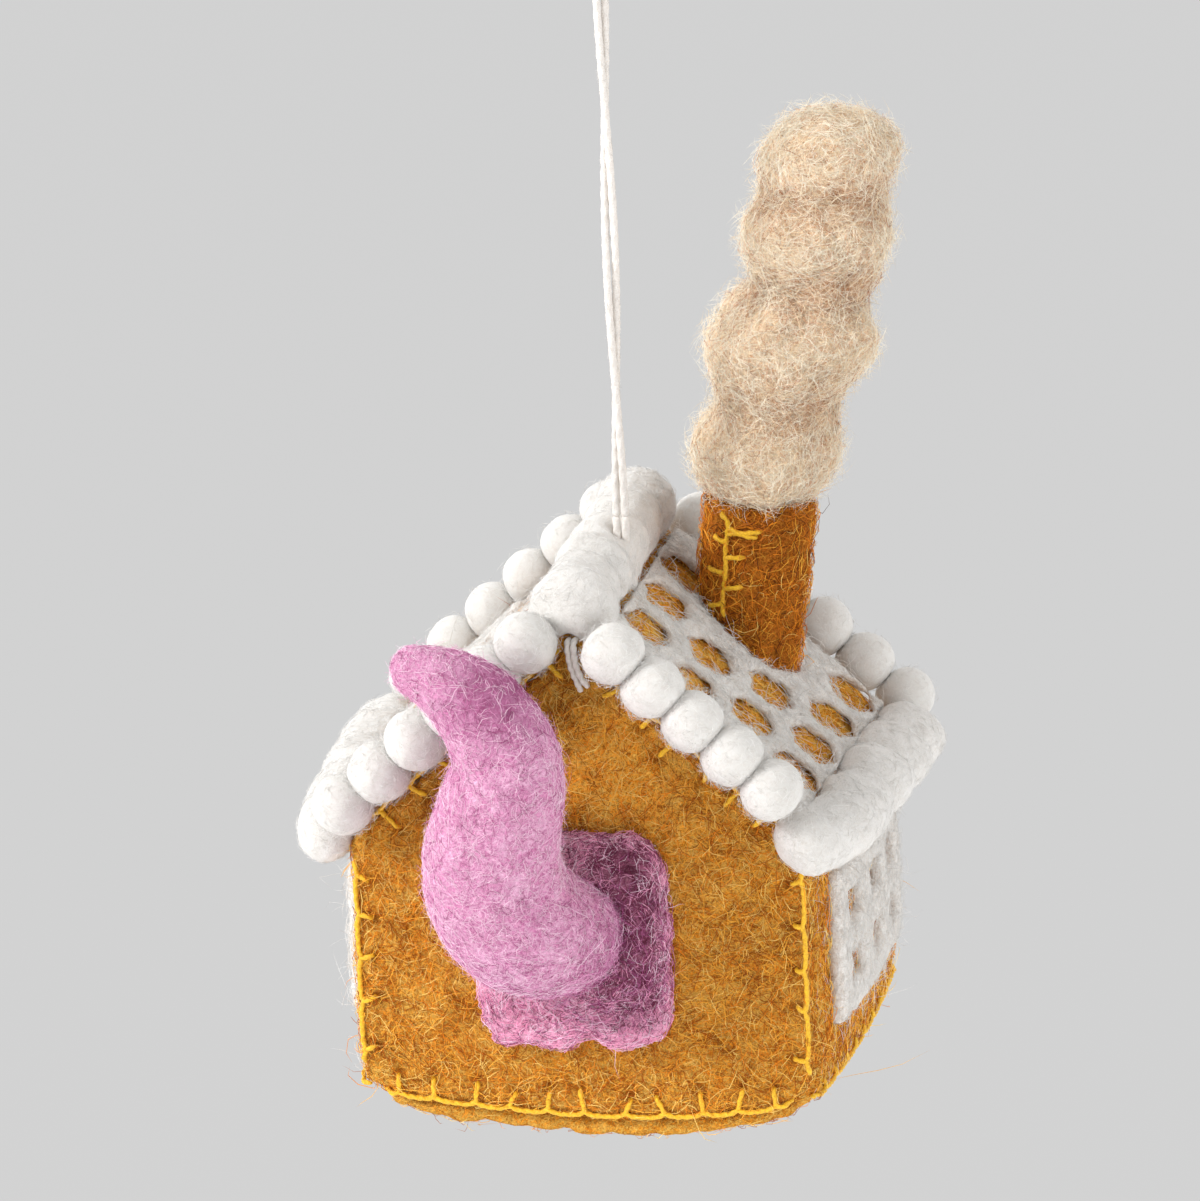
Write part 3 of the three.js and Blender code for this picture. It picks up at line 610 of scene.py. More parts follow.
def yarnSpots(route, s):  # rings round the route, grooved between the plies, then its two ends
    turns = np.linspace(0, 2 * math.pi, s["sides"], endpoint=False)
    aim = unit(np.gradient(route, axis=0))
    side = unit(np.cross(aim[0], threadShape["askew"]))
    gone, spots = 0.0, []
    for i, (at, ahead) in enumerate(zip(route, aim)):
        side = unit(side - ahead * (side @ ahead))
        other = np.cross(ahead, side)
        gone += np.linalg.norm(route[i] - route[i - 1]) if i else 0
        twist = turns - 2 * math.pi * gone / s["lay"]
        radius = s["radius"] * (1 - s["groove"] + s["groove"] * np.cos(s["plies"] * twist))
        radius = radius * (threadShape["endShare"] if i in (0, len(route) - 1) else 1)
        out = np.cos(turns)[:, None] * side + np.sin(turns)[:, None] * other
        spots.append(at + radius[:, None] * out)
    return [*spots, np.stack((route[0], route[-1]))]


def yarnFaces(first, rings, sides):
    k = np.arange(sides)
    after = (k + 1) % sides
    faces = []
    for low in range(first, first + (rings - 1) * sides, sides):
        high = low + sides
        faces.append(np.stack((low + k, low + after, high + after), axis=1))
        faces.append(np.stack((low + k, high + after, high + k), axis=1))
    tip = first + rings * sides
    last = tip - sides
    faces.append(np.stack((np.full(sides, tip), first + after, first + k), axis=1))
    faces.append(np.stack((last + k, last + after, np.full(sides, tip + 1)), axis=1))
    return faces


# plied thread along each route, all in one mesh, in mm on the frame's axes
def yarn(name, routes, s, finish):
    spots, faces, first = [], [], 0
    for route in routes:
        spots += yarnSpots(route, s)
        faces += yarnFaces(first, len(route), s["sides"])
        first += len(route) * s["sides"] + 2
    return meshPiece(name, np.concatenate(spots) * mm, np.concatenate(faces), [finish])


# cord: up one strand, round the eye, down the other
cordSettings = {"length": 98, "spacing": 1.25, "turns": 1, "strandPoints": 30, "gap": 0.3,
                "eyeHeight": 17, "eyeRadius": 4, "eyeAngles": (-30, 0, 45, 90, 135, 180, 210),
                "twistFrom": 5, "twistTo": 10,
                "yarn": {"radius": 0.56, "groove": 0.07, "plies": 3, "lay": 7.5, "sides": 15},
                "fuzz": {"count": 1100, "length": 1.8, "curl": 0.9, "loose": 0.45, "rise": 0.5,
                         "lift": 0.15, "thick": 0.045, "seed": 11, "rings": 2, "slot": "cotton_cord",
                         "tones": [("cotton", 1), ("milk", 0.4)]}}


def cordRoute(s):
    top = -s["eyeHeight"] - s["gap"]

    def strand(side):
        share = np.linspace(0, 1, s["strandPoints"])
        turn, reach = 2 * math.pi * s["turns"] * share, side * s["spacing"] / 2
        drop = top - (s["length"] + top) * share
        return np.stack((reach * np.cos(turn), reach * np.sin(turn), drop), axis=1)

    angles = np.radians(s["eyeAngles"])
    middle = s["yarn"]["radius"] - s["eyeRadius"]
    height = middle + s["eyeRadius"] * np.sin(angles)
    eye = np.stack((s["eyeRadius"] * np.cos(angles), 0 * angles, height), axis=1)
    return smoothRoute(np.concatenate((strand(1)[::-1], eye, strand(-1))))


def addCord(s):
    route = cordRoute(s)
    cord = yarn("cord", [route], s["yarn"], cotton)
    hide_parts("cord_eye", "cord_right_strand", "cord_left_strand")
    hairs = fuzz("cord_fuzz", [cord], s["fuzz"], body=None)
    for piece in (cord, hairs):
        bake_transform(piece)


addCord(cordSettings)
print("cord made")

# how the stuffed felt house bulges and sags, in mm; pairs are a start and the length that follows
baseSettings = {"sag": 2.7, "lean": 0.35, "sideSag": 0.6, "fade": 14, "scallop": 0.5, "stitches": 11,
                "inset": 2.2, "thin": 0.5, "top": -0.3, "corner": (0.7, 0.3), "rim": (0.85, 0.15),
                "cornerIn": 0.06}
pillow = {"front": {"rise": 2.0, "half": 31, "middle": 24, "tall": 34},
          "side": {"rise": 1.8, "half": 30, "middle": 14, "tall": 24}}
gableCorner = {"side": (27, 4), "foot": (4, -4), "in": 1.2, "up": 0.8}


def flare(spots):  # the house widens towards its back
    x, y, z = np.moveaxis(np.asarray(spots, float), -1, 0)
    grown = (houseSizes["backWidth"] - houseSizes["frontWidth"]) * (y + halfDepth) / houseSizes["depth"]
    spread = (houseSizes["frontWidth"] + grown) / middleWidth
    drop = (spread - 1) * np.abs(x) * math.tan(slope) * ramp(z, 0, houseSizes["wall"])
    return np.stack((x * spread, y, z - drop), axis=-1)


# the stuffed base bellies down, most of all in the middle of its front and back edges
def sagOf(x, y):
    u, v = np.clip(x / halfWidth, -1, 1), np.clip(y / halfDepth, -1, 1)
    sag = baseSettings["sag"] * (1 - u * u) * (1 - baseSettings["lean"] * u * v)
    return sag + baseSettings["sideSag"] * (1 - v * v) * u * u


def sagged(spots):
    spots = spots.copy()
    near = np.clip(1 - spots[:, 2] / baseSettings["fade"], 0, 1) ** 2
    spots[:, 2] -= sagOf(spots[:, 0], spots[:, 1]) * near
    return spots


def bulgeOf(across, z, s):
    wide = np.clip(1 - (across / s["half"]) ** 2, 0, 1)
    return s["rise"] * (wide * np.clip(1 - ((z - s["middle"]) / s["tall"]) ** 2, 0, 1))


def frontBulge(spots):
    return np.sign(spots[:, 1]) * bulgeOf(spots[:, 0], spots[:, 2], pillow["front"])


def sideBulge(spots):
    return np.sign(spots[:, 0]) * bulgeOf(spots[:, 1], spots[:, 2], pillow["side"])


def gableRule(spots):
    spots = sagged(spots)
    corner = ramp(np.abs(spots[:, 0]), *gableCorner["side"]) * ramp(spots[:, 2], *gableCorner["foot"])
    spots[:, 0] -= np.sign(spots[:, 0]) * corner * gableCorner["in"]
    spots[:, 2] += corner * gableCorner["up"]
    spots[:, 1] += frontBulge(spots)
    return spots


def sideRule(spots):
    spots = sagged(spots)
    spots[:, 0] += sideBulge(spots)
    return spots


def baseRule(spots):
    s = baseSettings
    spots = spots.copy()
    u, v = np.abs(spots[:, 0]) / (halfWidth - s["inset"]), np.abs(spots[:, 1]) / halfDepth
    corner = ramp(u, *s["corner"]) * ramp(v, *s["corner"])
    rim = ramp(np.maximum(u, v), *s["rim"])
    spots[:, 2] = s["top"] + (spots[:, 2] - s["top"]) * (1 - s["thin"] * rim * np.clip(u, 0, 1) ** 2)
    beat = np.abs(np.sin(math.pi * s["stitches"] * (spots[:, 0] / (2 * halfWidth) + 0.5)))
    spots[:, 2] -= sagOf(spots[:, 0], spots[:, 1]) + rim * v * s["scallop"] * beat
    spots[:, :2] *= 1 - s["cornerIn"] * corner[:, None]
    spots[:, 0] += sideBulge(spots) * rim
    return spots


# floss: where each blanket stitch lies, before the felt that it dents
flossSettings = {"radius": 0.4, "groove": 0.14, "plies": 2, "lay": 2.6, "sides": 10, "lift": 0.2,
                 "tuck": 0.4, "dent": 0.45, "dentWidth": 0.9}
# a stitch's points: along the edge they are ahead and up, along the leg shares of its reach, sway and lift
stitchSettings = {"seed": 90, "leg": 2.4, "stray": 0.07, "reach": (0.7, 1.2), "sway": 0.6, "legStep": 0.25,
                  "edge": [(-1.3, -0.14), (0, 0.18), (1.3, -0.12)], "legFrom": 0.1,
                  "legShape": [(0.45, 0.4, 1.5), (0.85, 1, 0.4)], "legSink": 0.9, "holePast": 0.3}
seamSettings = {"off": 0.25, "baseZ": 0.15, "frontHalf": 30.9, "sideHalf": 27.2, "cornerIn": 0.2,
                "corner": (3.2, 33.4), "gable": (0.6, 39.4), "gableOut": 0.9}


def onSlope(down, out, y):
    return np.array((0, y, houseSizes["apex"])) + downSlope * down + outOfSlope * out


def blanketSeam(start, end, leg, out, stitches, seed, legScale=1.0):
    s = stitchSettings
    rng = np.random.default_rng(seed)
    start, end, leg, out = (np.array(x, float) for x in (start, end, leg, out))
    lift = out * flossSettings["lift"]
    along = unit(end - start)
    tuck = along * flossSettings["tuck"]
    edge, legs, holes = [start - out + tuck], [], []
    for i in range(stitches):
        at = start + (end - start) * (i + 0.5 + rng.normal(0, s["stray"])) / stitches
        reach = s["leg"] * legScale * rng.uniform(*s["reach"])
        sway = along * rng.normal(0, s["sway"])
        edge += [at + along * ahead + lift + leg * up for ahead, up in s["edge"]]
        points = [at + leg * reach * far + sway * bend + lift * rise for far, bend, rise in s["legShape"]]
        sunk = at + leg * reach + sway - out * s["legSink"]
        legs.append(smoothRoute((at + lift + leg * s["legFrom"], *points, sunk), s["legStep"]))
        holes.append(at + leg * (reach + s["holePast"]) + sway)
    edge.append(end - out - tuck)
    return [smoothRoute(edge), *legs], holes


def turnedBy(run, x, y):  # the same seam on the opposite wall or side
    turned = dict(run)
    for key in ("start", "end", "leg", "out"):
        turned[key] = np.array(run[key]) * np.array((x, y, 1))
    return turned


def seamRuns(s):  # which rule shapes each seam, and the stretches that it is sewn in
    front, side, cornerX = -halfDepth - s["off"], halfWidth + s["off"], halfWidth - s["cornerIn"]
    (cornerLow, cornerHigh), (gableTop, gableFoot) = s["corner"], s["gable"]
    base = {"start": (-s["frontHalf"], front, s["baseZ"]), "end": (s["frontHalf"], front, s["baseZ"]),
            "leg": (0, 0, 1), "out": (0, -1, 0), "stitches": baseSettings["stitches"]}
    sideBase = {"start": (side, -s["sideHalf"], s["baseZ"]), "end": (side, s["sideHalf"], s["baseZ"]),
                "leg": (0, 0, 1), "out": (1, 0, 0), "stitches": 9, "legScale": 0.55}
    corner = {"start": (cornerX, front, cornerLow), "end": (cornerX, front, cornerHigh),
              "leg": (-1, 0, 0), "out": (0, -1, 0), "stitches": 5, "legScale": 0.75}
    gable = {"start": onSlope(gableTop, s["gableOut"], front),
             "end": onSlope(gableFoot, s["gableOut"], front),
             "leg": -outOfSlope, "out": (0, -1, 0), "stitches": 7, "legScale": 1.35}
    return {
        "front_base_seam": (gableRule, [base]),
        "back_base_seam": (gableRule, [turnedBy(base, -1, -1)]),
        "right_base_seam": (sideRule, [sideBase]),
        "left_base_seam": (sideRule, [turnedBy(sideBase, -1, -1)]),
        "front_right_seam": (gableRule, [corner]),
        "front_left_seam": (gableRule, [turnedBy(corner, -1, 1)]),
        "back_left_seam": (gableRule, [turnedBy(corner, -1, -1)]),
        "back_right_seam": (gableRule, [turnedBy(corner, 1, -1)]),
        "front_gable_seam": (gableRule, [gable, turnedBy(gable, -1, 1)]),
        "back_gable_seam": (gableRule, [turnedBy(gable, 1, -1), turnedBy(gable, -1, -1)]),
    }


needleHoles = []
for order, (node, (rule, runs)) in enumerate(seamRuns(seamSettings).items()):
    routes = []
    for i, run in enumerate(runs):
        threads, holes = blanketSeam(**run, seed=stitchSettings["seed"] + 2 * order + i)
        routes += [rule(flare(route)) + house / mm for route in threads]
        needleHoles.extend(rule(flare(np.array(holes))))
    seam = yarn(node + "_floss", routes, flossSettings, yellowFloss)
    settle(seam, yellowFloss, [node])
print("floss made")


def holeDepth(spots):  # 1 where a stitch goes into the felt
    away = np.full(len(spots), 10 * flossSettings["dentWidth"])
    for hole in needleHoles:
        away = np.minimum(away, np.linalg.norm(spots - hole, axis=1))
    return bell(away, 0, flossSettings["dentWidth"])


def dented(rule, axis):  # the rule, and then the dents of the stitches along one axis
    def shaped(spots):
        spots = rule(spots)
        spots[:, axis] -= np.sign(spots[:, axis]) * flossSettings["dent"] * holeDepth(spots)
        return spots
    return shaped


# felt panels, each with its flat size in metres and its area in square metres
seenWell = {"voxel": 0.6, "rings": 3}
seenLess = {"voxel": 0.85, "rings": 2}
panelSettings = {
    "front_wall": {"facing": (0, -1, 0), "fibres": 9600, "rule": dented(gableRule, 1),
                   "flat": (0.0625, 0.064), "area": 0.00310, **seenWell},
    "back_wall": {"facing": (0, 1, 0), "fibres": 2400, "rule": dented(gableRule, 1),
                  "flat": (0.0675, 0.064), "area": 0.00334, **seenLess},
    "right_wall": {"facing": (1, 0, 0), "fibres": 4500, "rule": dented(sideRule, 0),
                   "flat": (0.0523, 0.0373), "area": 0.00187, **seenWell},
    "left_wall": {"facing": (-1, 0, 0), "fibres": 2600, "rule": dented(sideRule, 0),
                  "flat": (0.0523, 0.0373), "area": 0.00187, **seenLess},
    "base_panel": {"facing": (0, 0, -1), "fibres": 1800, "rule": baseRule,
                   "flat": (0.0606, 0.058), "area": 0.00351, **seenLess},
    "right_roof": {"facing": outOfSlope, "fibres": 2000, "rule": None,
                   "flat": (0.041, 0.0568), "area": 0.00233, **seenLess},
    "left_roof": {"facing": outOfSlope * (-1, 1, 1), "fibres": 1600, "rule": None,
                  "flat": (0.041, 0.0568), "area": 0.00233, **seenLess},
}
panelFelt = {"soften": 4, "swell": 0.2, "lumps": [(7, 1.1), (2.2, 0.65)]}
# painted light and shade on the felt: painted shade in the stitch dents, a painted pool of light high on
# the front right of the tail, painted shade over all the felt outside it
panelShade = {"hole": 0.8, "all": 0.22, "paintedLightX": (6, 12), "paintedLightZ": (46, 13)}
gingerFuzz = {"seed": 20, "length": 3.8, "vary": 0.45, "curl": 3.0, "loose": 0.12, "rise": 1.3, "lift": 0.9,
              "thick": 0.1, "rings": 3, "wave": 0.06, "free": 0.1, "slot": "ginger_felt",
              "tones": [("straw", 0.28), ("honey", 0.38), ("ginger", 0.2), ("bark", 0.14)]}


def feltShade(spots):  # painted shade in the stitch dents and over all the felt, left out in a painted pool of light high on the front, right of the tail
    s = panelShade
    bright = bell(spots[:, 0], *s["paintedLightX"]) * bell(spots[:, 2], *s["paintedLightZ"])
    return s["hole"] * holeDepth(spots) + s["all"] * (1 - bright)


for order, (node, s) in enumerate(panelSettings.items()):
    panel = feltCopy(node, node + "_felt", {**panelFelt, "voxel": s["voxel"]}, s["rule"])
    shadeBy(panel, feltShade)
    settle(panel, gingerFelt, [node])
    fuzz(node + "_fuzz", [panel], {**gingerFuzz, "count": s["fibres"], "facing": s["facing"],
                                   "rings": s["rings"], "seed": gingerFuzz["seed"] + order})
print("felt panels made")

stuffingSettings = {"voxel": 2.2, "soften": 3, "swell": -0.4, "lumps": [(6, 0.5)]}
stuffing = feltCopy("stuffing", "stuffing_wool", stuffingSettings)
settle(stuffing, whiteWool, ["stuffing"])

# icing on the roof, with wisps over its gaps
icingSettings = {"soften": 10, "swell": -0.1, "lumps": [(3.4, 0.9), (1.3, 0.5)],
                 "wisps": 700, "wispLift": 1.2}
icingSides = {
    "right_icing": {"side": 1, "voxel": 0.42, "fibres": 4600, "rings": 3, "seed": 40, "wispSeed": 42},
    "left_icing": {"side": -1, "voxel": 0.6, "fibres": 2400, "rings": 2, "seed": 41, "wispSeed": 43},
}
whiteFuzz = {"length": 2.2, "vary": 0.4, "curl": 1.8, "loose": 0.4, "rise": 0.8, "lift": 0.4, "thick": 0.05,
             "rings": 2, "slot": "white_wool", "tones": [("snow", 0.85), ("milk", 0.15)]}
icingFuzz = {**whiteFuzz, "length": 3.4, "free": 0.45, "lift": 0.6, "thick": 0.07}
for node, s in icingSides.items():
    icing = feltCopy(node, node + "_wool", {**icingSettings, "voxel": s["voxel"]})
    settle(icing, icingWool, [node])
    sideFuzz = {**icingFuzz, "facing": outOfSlope * (s["side"], 1, 1)}
    fuzz(node + "_fuzz", [icing], {**sideFuzz, "count": s["fibres"], "rings": s["rings"],
                                   "seed": s["seed"]})
    roof = bpy.data.objects[node.replace("icing", "roof_felt")]
    fuzz(node + "_wisps", [roof], {**sideFuzz, "count": icingSettings["wisps"],
                                   "lift": icingSettings["wispLift"], "seed": s["wispSeed"]})

# windows, felted onto the bulging side walls
windowSettings = {"voxel": 0.45, "soften": 4, "swell": 0.7, "lumps": [(4, 0.5), (1.4, 0.3)],
                  "fibres": 2200, "wisps": 700}
windowSides = {"right_window": {"side": 1, "seed": 45, "wispSeed": 47},
               "left_window": {"side": -1, "seed": 46, "wispSeed": 48}}


def windowRule(spots):
    spots = spots.copy()
    spots[:, 0] += sideBulge(spots)
    return spots


for node, s in windowSides.items():
    window = feltCopy(node, node + "_wool", windowSettings, windowRule)
    settle(window, icingWool, [node])
    sideFuzz = {**icingFuzz, "facing": (s["side"], 0, 0)}
    fuzz(node + "_fuzz", [window], {**sideFuzz, "count": windowSettings["fibres"], "seed": s["seed"]})
    wall = bpy.data.objects[node.replace("window", "wall_felt")]
    fuzz(node + "_wisps", [wall], {**sideFuzz, "count": windowSettings["wisps"], "seed": s["wispSeed"]})

# wool rolls on the ridge and the eaves: a crease has a place, a depth and a width
rollSettings = {"voxel": 0.6, "soften": 6, "swell": 0.15, "lumps": [(8, 1.3), (3.0, 0.35)]}
ridgeSettings = {"creases": [(-14.0, 0.9, 1.6), (-6.0, 0.5, 1.4), (7.0, 0.7, 1.8), (17, 0.6, 1.5)],
                 "middleZ": 69.3, "cordExit": (2.8, -3.0), "dimple": 0.6, "dimpleWide": 2.6, "upper": -2,
                 "front": (-15, -5), "bulb": 0.16, "forward": 1.8, "droop": 0.9,
                 "plugs": [(65.4, 2.0), (67.2, 2.0), (69.0, 2.0), (70.8, 1.9)], "bareTop": 74.5, "bare": 5}
eaveSettings = {"creases": [(-19, 0.6, 1.6), (-7, 0.8, 1.8), (6, 0.6, 1.6), (17, 0.8, 1.8)],
                "middle": (37.2, 36.2), "over": 0.4, "front": (-20, -8), "frontBend": 1.5,
                "ends": {1: (3.4, 0.6, 0.4), -1: (0.2, 3.0, 2.0)}}


def creaseDepth(y, creases):
    return sum(depth * bell(y, at, wide) for at, depth, wide in creases)


def ridgeRule(spots):
    s = ridgeSettings
    spots = spots.copy()
    middle = np.array((0.0, s["middleZ"]))
    arm = spots[:, [0, 2]] - middle
    exitX, exitY = s["cordExit"]
    near = np.hypot(spots[:, 0] - exitX, spots[:, 1] - exitY)
    draw = creaseDepth(spots[:, 1], s["creases"]) + s["dimple"] * bell(near, 0, s["dimpleWide"])
    reach = np.maximum(np.linalg.norm(arm, axis=1), 1)
    front = ramp(spots[:, 1], *s["front"])
    grow = 1 - np.where(arm[:, 1] > s["upper"], draw, 0) / reach + s["bulb"] * front
    spots[:, [0, 2]] = middle + arm * grow[:, None]
    spots[:, 1] -= s["forward"] * front
    spots[:, 2] -= s["droop"] * front
    return spots


def eaveRule(side):  # the roll lies against the roof's edge and its front end turns round the corner
    inward, forward, droop = eaveSettings["ends"][side]
    upSlope = -downSlope * (side, 1, 1)

    def shaped(spots):
        x, z = eaveSettings["middle"]
        y = spots[:, 1]
        middle = flare(np.stack((np.full(len(y), side * x), y, np.full(len(y), z)), axis=1))
        arm = spots - middle
        arm[:, 1] = 0
        draw = creaseDepth(y, eaveSettings["creases"]) / np.maximum(np.linalg.norm(arm, axis=1), 1)
        lean = np.clip(arm @ upSlope, 0, None)
        spots = spots - arm * draw[:, None] + np.outer(lean * eaveSettings["over"], upSlope)
        front = ramp(y, *eaveSettings["front"]) ** eaveSettings["frontBend"]
        spots[:, 0] -= side * inward * front
        spots[:, 1] -= forward * front
        spots[:, 2] -= droop * front
        return spots
    return shaped


cordPlugs = [(*ridgeSettings["cordExit"], z, radius) for z, radius in ridgeSettings["plugs"]]
cordBare = ((*ridgeSettings["cordExit"], ridgeSettings["bareTop"]), ridgeSettings["bare"], False)
rollFuzz = {**whiteFuzz, "seed": 50, "count": 2800, "length": 3.0, "thick": 0.06, "zones": [cordBare]}
rolls = (("ridge_roll", ridgeRule, cordPlugs), ("right_eave_roll", eaveRule(1), ()),
         ("left_eave_roll", eaveRule(-1), ()))
for order, (node, rule, plugs) in enumerate(rolls):
    roll = feltCopy(node, node + "_wool", {**rollSettings, "plugs": plugs}, rule)
    settle(roll, whiteWool, [node])
    fuzz(node + "_fuzz", [roll], {**rollFuzz, "seed": rollFuzz["seed"] + order})
print("icing made")

# felt balls, pressed against their neighbours along the gable edge
ballSettings = {"radius": 4.4, "pitch": 7.4, "flat": 0.97, "press": 0.45, "square": 3.0, "pull": 0.9,
                "lump": (3.5, 0.4)}
ballFuzz = {**whiteFuzz, "seed": 60, "length": 1.7, "loose": 0.7, "rise": 1.2, "bend": 0.8, "lift": 0.25,
            "thick": 0.055}
ballRows = {"front_right": (5, 1, 720), "front_left": (6, -1, 720),
            "back_right": (6, 1, 200), "back_left": (6, -1, 200)}  # balls, side and fibres on each


def addBall(node, side):
    s = ballSettings
    low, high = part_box(node)
    bpy.ops.object.select_all(action="DESELECT")
    bpy.ops.mesh.primitive_ico_sphere_add(subdivisions=4, radius=s["radius"] * mm)
    made = bpy.context.object
    made.name = node + "_wool"
    bpy.ops.object.mode_set(mode="EDIT")
    bpy.ops.mesh.select_all(action="SELECT")
    bpy.ops.transform.resize(value=(1, 1, s["flat"]))
    bpy.ops.object.mode_set(mode="OBJECT")
    along = downSlope * (side, 1, 1)
    spots = spotsOf(made)
    reach = spots @ along
    limit = s["pitch"] / 2 * mm
    share = np.tanh((np.abs(reach) / limit) ** s["square"] * s["pull"]) ** (1 / s["square"])
    pressed = np.sign(reach) * limit * share
    placeAt(made, spots + np.outer((pressed - reach) * s["press"], along) + np.array((low + high) / 2))
    lump(made, *s["lump"])
    settle(made, ballWool, [node])
    return made


for order, (row, (count, side, fibres)) in enumerate(ballRows.items()):
    balls = [addBall(f"{row}_ball_{i + 1}", side) for i in range(count)]
    fuzz(row + "_ball_fuzz", balls, {**ballFuzz, "count": fibres * count, "seed": ballFuzz["seed"] + order})
print("balls made")

# chimney
chimneySettings = {"voxel": 0.5, "soften": 4, "swell": 0.2, "lumps": [(7, 0.9), (2, 0.35)]}
chimneyFuzz = {**gingerFuzz, "seed": 70, "count": 3600, "loose": 0.25, "tones": [
    ("straw", 0.06), ("honey", 0.18), ("ginger", 0.24), ("rust", 0.38), ("soot", 0.14)]}
chimney = feltCopy("chimney", "chimney_felt", chimneySettings)
settle(chimney, rustFelt, ["chimney"])
fuzz("chimney_fuzz", [chimney], chimneyFuzz)

# smoke: a waist has a height, a draw and a shift to the right
smokeSettings = {"voxel": 0.7, "soften": 6, "swell": -0.5, "round": 1,
                 "lumps": [(10, 2.6), (4.5, 1.6), (1.8, 0.6)], "foot": (19.57, 13.0, 73.7), "lean": 0.216,
                 "waists": [(88.2, 0.04, 0.3), (105.1, 0.1, 1.3), (117.5, 0.05, 0.3)], "waistWidth": 2.6,
                 "tilt": 0.042, "tiltFrom": 92, "shade": 0.42, "shadeWidth": 2.8, "shadeRight": 0.25,
                 "shadeReach": 12}
smokeFuzz = {"count": 6000, "length": 5.0, "vary": 0.4, "curl": 3.2, "loose": 0.12, "rise": 2.0,
             "lift": 1.3, "thick": 0.07, "rings": 3, "slot": "smoke_wool", "seed": 72,
             "tones": [("cream", 0.53), ("oat", 0.32), ("rose", 0.08), ("umber", 0.07)]}
smokeCurls = {**smokeFuzz, "seed": 74, "lift": 1.0}
smokeHalo = {**smokeFuzz, "count": 8600, "length": 3.6, "curl": 2.4, "loose": 0.85, "rise": 3.2,
             "bend": 0.9, "thick": 0.058, "rings": 2, "seed": 73, "tones": [("cream", 0.75), ("oat", 0.25)]}


def smokeRule(spots):
    s = smokeSettings
    spots = spots.copy()
    x, y, z = s["foot"]
    leaning = x + s["lean"] * (spots[:, 2] - z)
    middle = np.stack((leaning, np.full(len(spots), y), spots[:, 2]), axis=1)
    for at, draw, shift in s["waists"]:
        near = bell(spots[:, 2], at, s["waistWidth"])
        spots = spots - (spots - middle) * (draw * near)[:, None]
        spots[:, 0] += shift * near
    spots[:, 0] += s["tilt"] * (spots[:, 2] - s["tiltFrom"])
    return spots


# painted shade in the smoke's waists, deeper on its right side, away from the key lamp
def smokeShade(spots):
    s = smokeSettings
    x, y, z = s["foot"]
    dark = sum(bell(spots[:, 2], at, s["shadeWidth"]) for at, draw, shift in s["waists"])
    right = np.clip((spots[:, 0] - x - s["lean"] * (spots[:, 2] - z)) / s["shadeReach"], -1, 1)
    return dark * (s["shade"] + s["shadeRight"] * right)


smoke = feltCopy("smoke", "smoke_wool", smokeSettings, smokeRule)
shadeBy(smoke, smokeShade)
settle(smoke, smokeWool, ["smoke"])
fuzz("smoke_fuzz", [smoke], smokeFuzz)
fuzz("smoke_curls", [smoke], smokeCurls)
fuzz("smoke_halo", [smoke], smokeHalo)
print("chimney and smoke made")

# patch: a raised rim, a rise round the tail's root and an uneven lower edge
patchSettings = {"voxel": 0.5, "soften": 4, "swell": 0.3, "lumps": [(5, 1.1), (1.7, 0.6)],
                 "middle": (-0.4, 23.2), "size": (26, 31), "front": (-30.2, -0.6),
                 "rim": 0.7, "rimIn": 2.6, "rimWide": 1.9,
                 "root": (1.8, 25.4), "rootReach": 7.6, "rootRise": 2.4, "rootWide": 3.0,
                 "low": (12, -4), "hemUp": 0.9, "hemWave": (0.5, 0.75, 0.6),
                 "notch": 0.8, "notchAt": (1.5, 1.6),
                 "shade": 0.76, "shadeIn": (-0.6, 2.4), "shadeX": (-1, 5), "shadeZ": (10, 8), "turn": 8}
patchFuzz = {"count": 5800, "length": 3.0, "curl": 1.6, "loose": 0.12, "rise": 1.2, "lift": 0.6,
             "thick": 0.085, "seed": 80, "rings": 3, "wave": 0.06, "facing": (0, -1, 0), "edge": 0.1,
             "stray": 0.5, "slot": "purple_wool",
             "tones": [("petal", 0.24), ("pink", 0.5), ("mauve", 0.16), ("wine", 0.1)]}


def fromMiddle(spots):
    x, z = patchSettings["middle"]
    return spots[:, 0] - x, spots[:, 2] - z


def patchEdge(spots):  # distance in from the patch's edge
    x, z = fromMiddle(spots)
    wide, tall = patchSettings["size"]
    return np.minimum(wide / 2 - np.abs(x), tall / 2 - np.abs(z))


def patchRule(spots):
    s = patchSettings
    spots = spots.copy()
    front = ramp(spots[:, 1], *s["front"])
    rim = bell(patchEdge(spots), s["rimIn"], s["rimWide"])
    rootX, rootZ = s["root"]
    away = np.hypot(spots[:, 0] - rootX, spots[:, 2] - rootZ) - s["rootReach"]
    fillet = bell(np.clip(away, 0, None), 0, s["rootWide"])
    spots[:, 1] += frontBulge(spots) - (s["rim"] * rim + s["rootRise"] * fillet) * front
    high, often, shift = s["hemWave"]
    hem = s["hemUp"] + high * np.sin(spots[:, 0] * often + shift)
    spots[:, 2] += ramp(spots[:, 2], *s["low"]) * (hem + s["notch"] * bell(spots[:, 0], *s["notchAt"]))
    return spots


def patchShade(spots):  # painted shadow of the tail: darkest on the right, under the tail
    s = patchSettings
    inside = ramp(patchEdge(spots), *s["shadeIn"])
    right = ramp(spots[:, 0], *s["shadeX"]) * ramp(spots[:, 2], *s["shadeZ"])
    return inside * s["shade"] * right


def patchFlow(spots):  # the fibres run round the patch
    x, z = fromMiddle(spots)
    wide, tall = patchSettings["size"]
    side = np.clip((np.abs(x) / wide - np.abs(z) / tall) * patchSettings["turn"] + 0.5, 0, 1)
    return unit(np.stack((-np.sign(z) * (1 - side), 0 * x, np.sign(x) * side), axis=1))


patch = feltCopy("tail_patch", "tail_patch_wool", patchSettings, patchRule)
shadeBy(patch, patchShade)
settle(patch, purpleWool, ["tail_patch"])
fuzz("tail_patch_fuzz", [patch], {**patchFuzz, "flow": patchFlow})

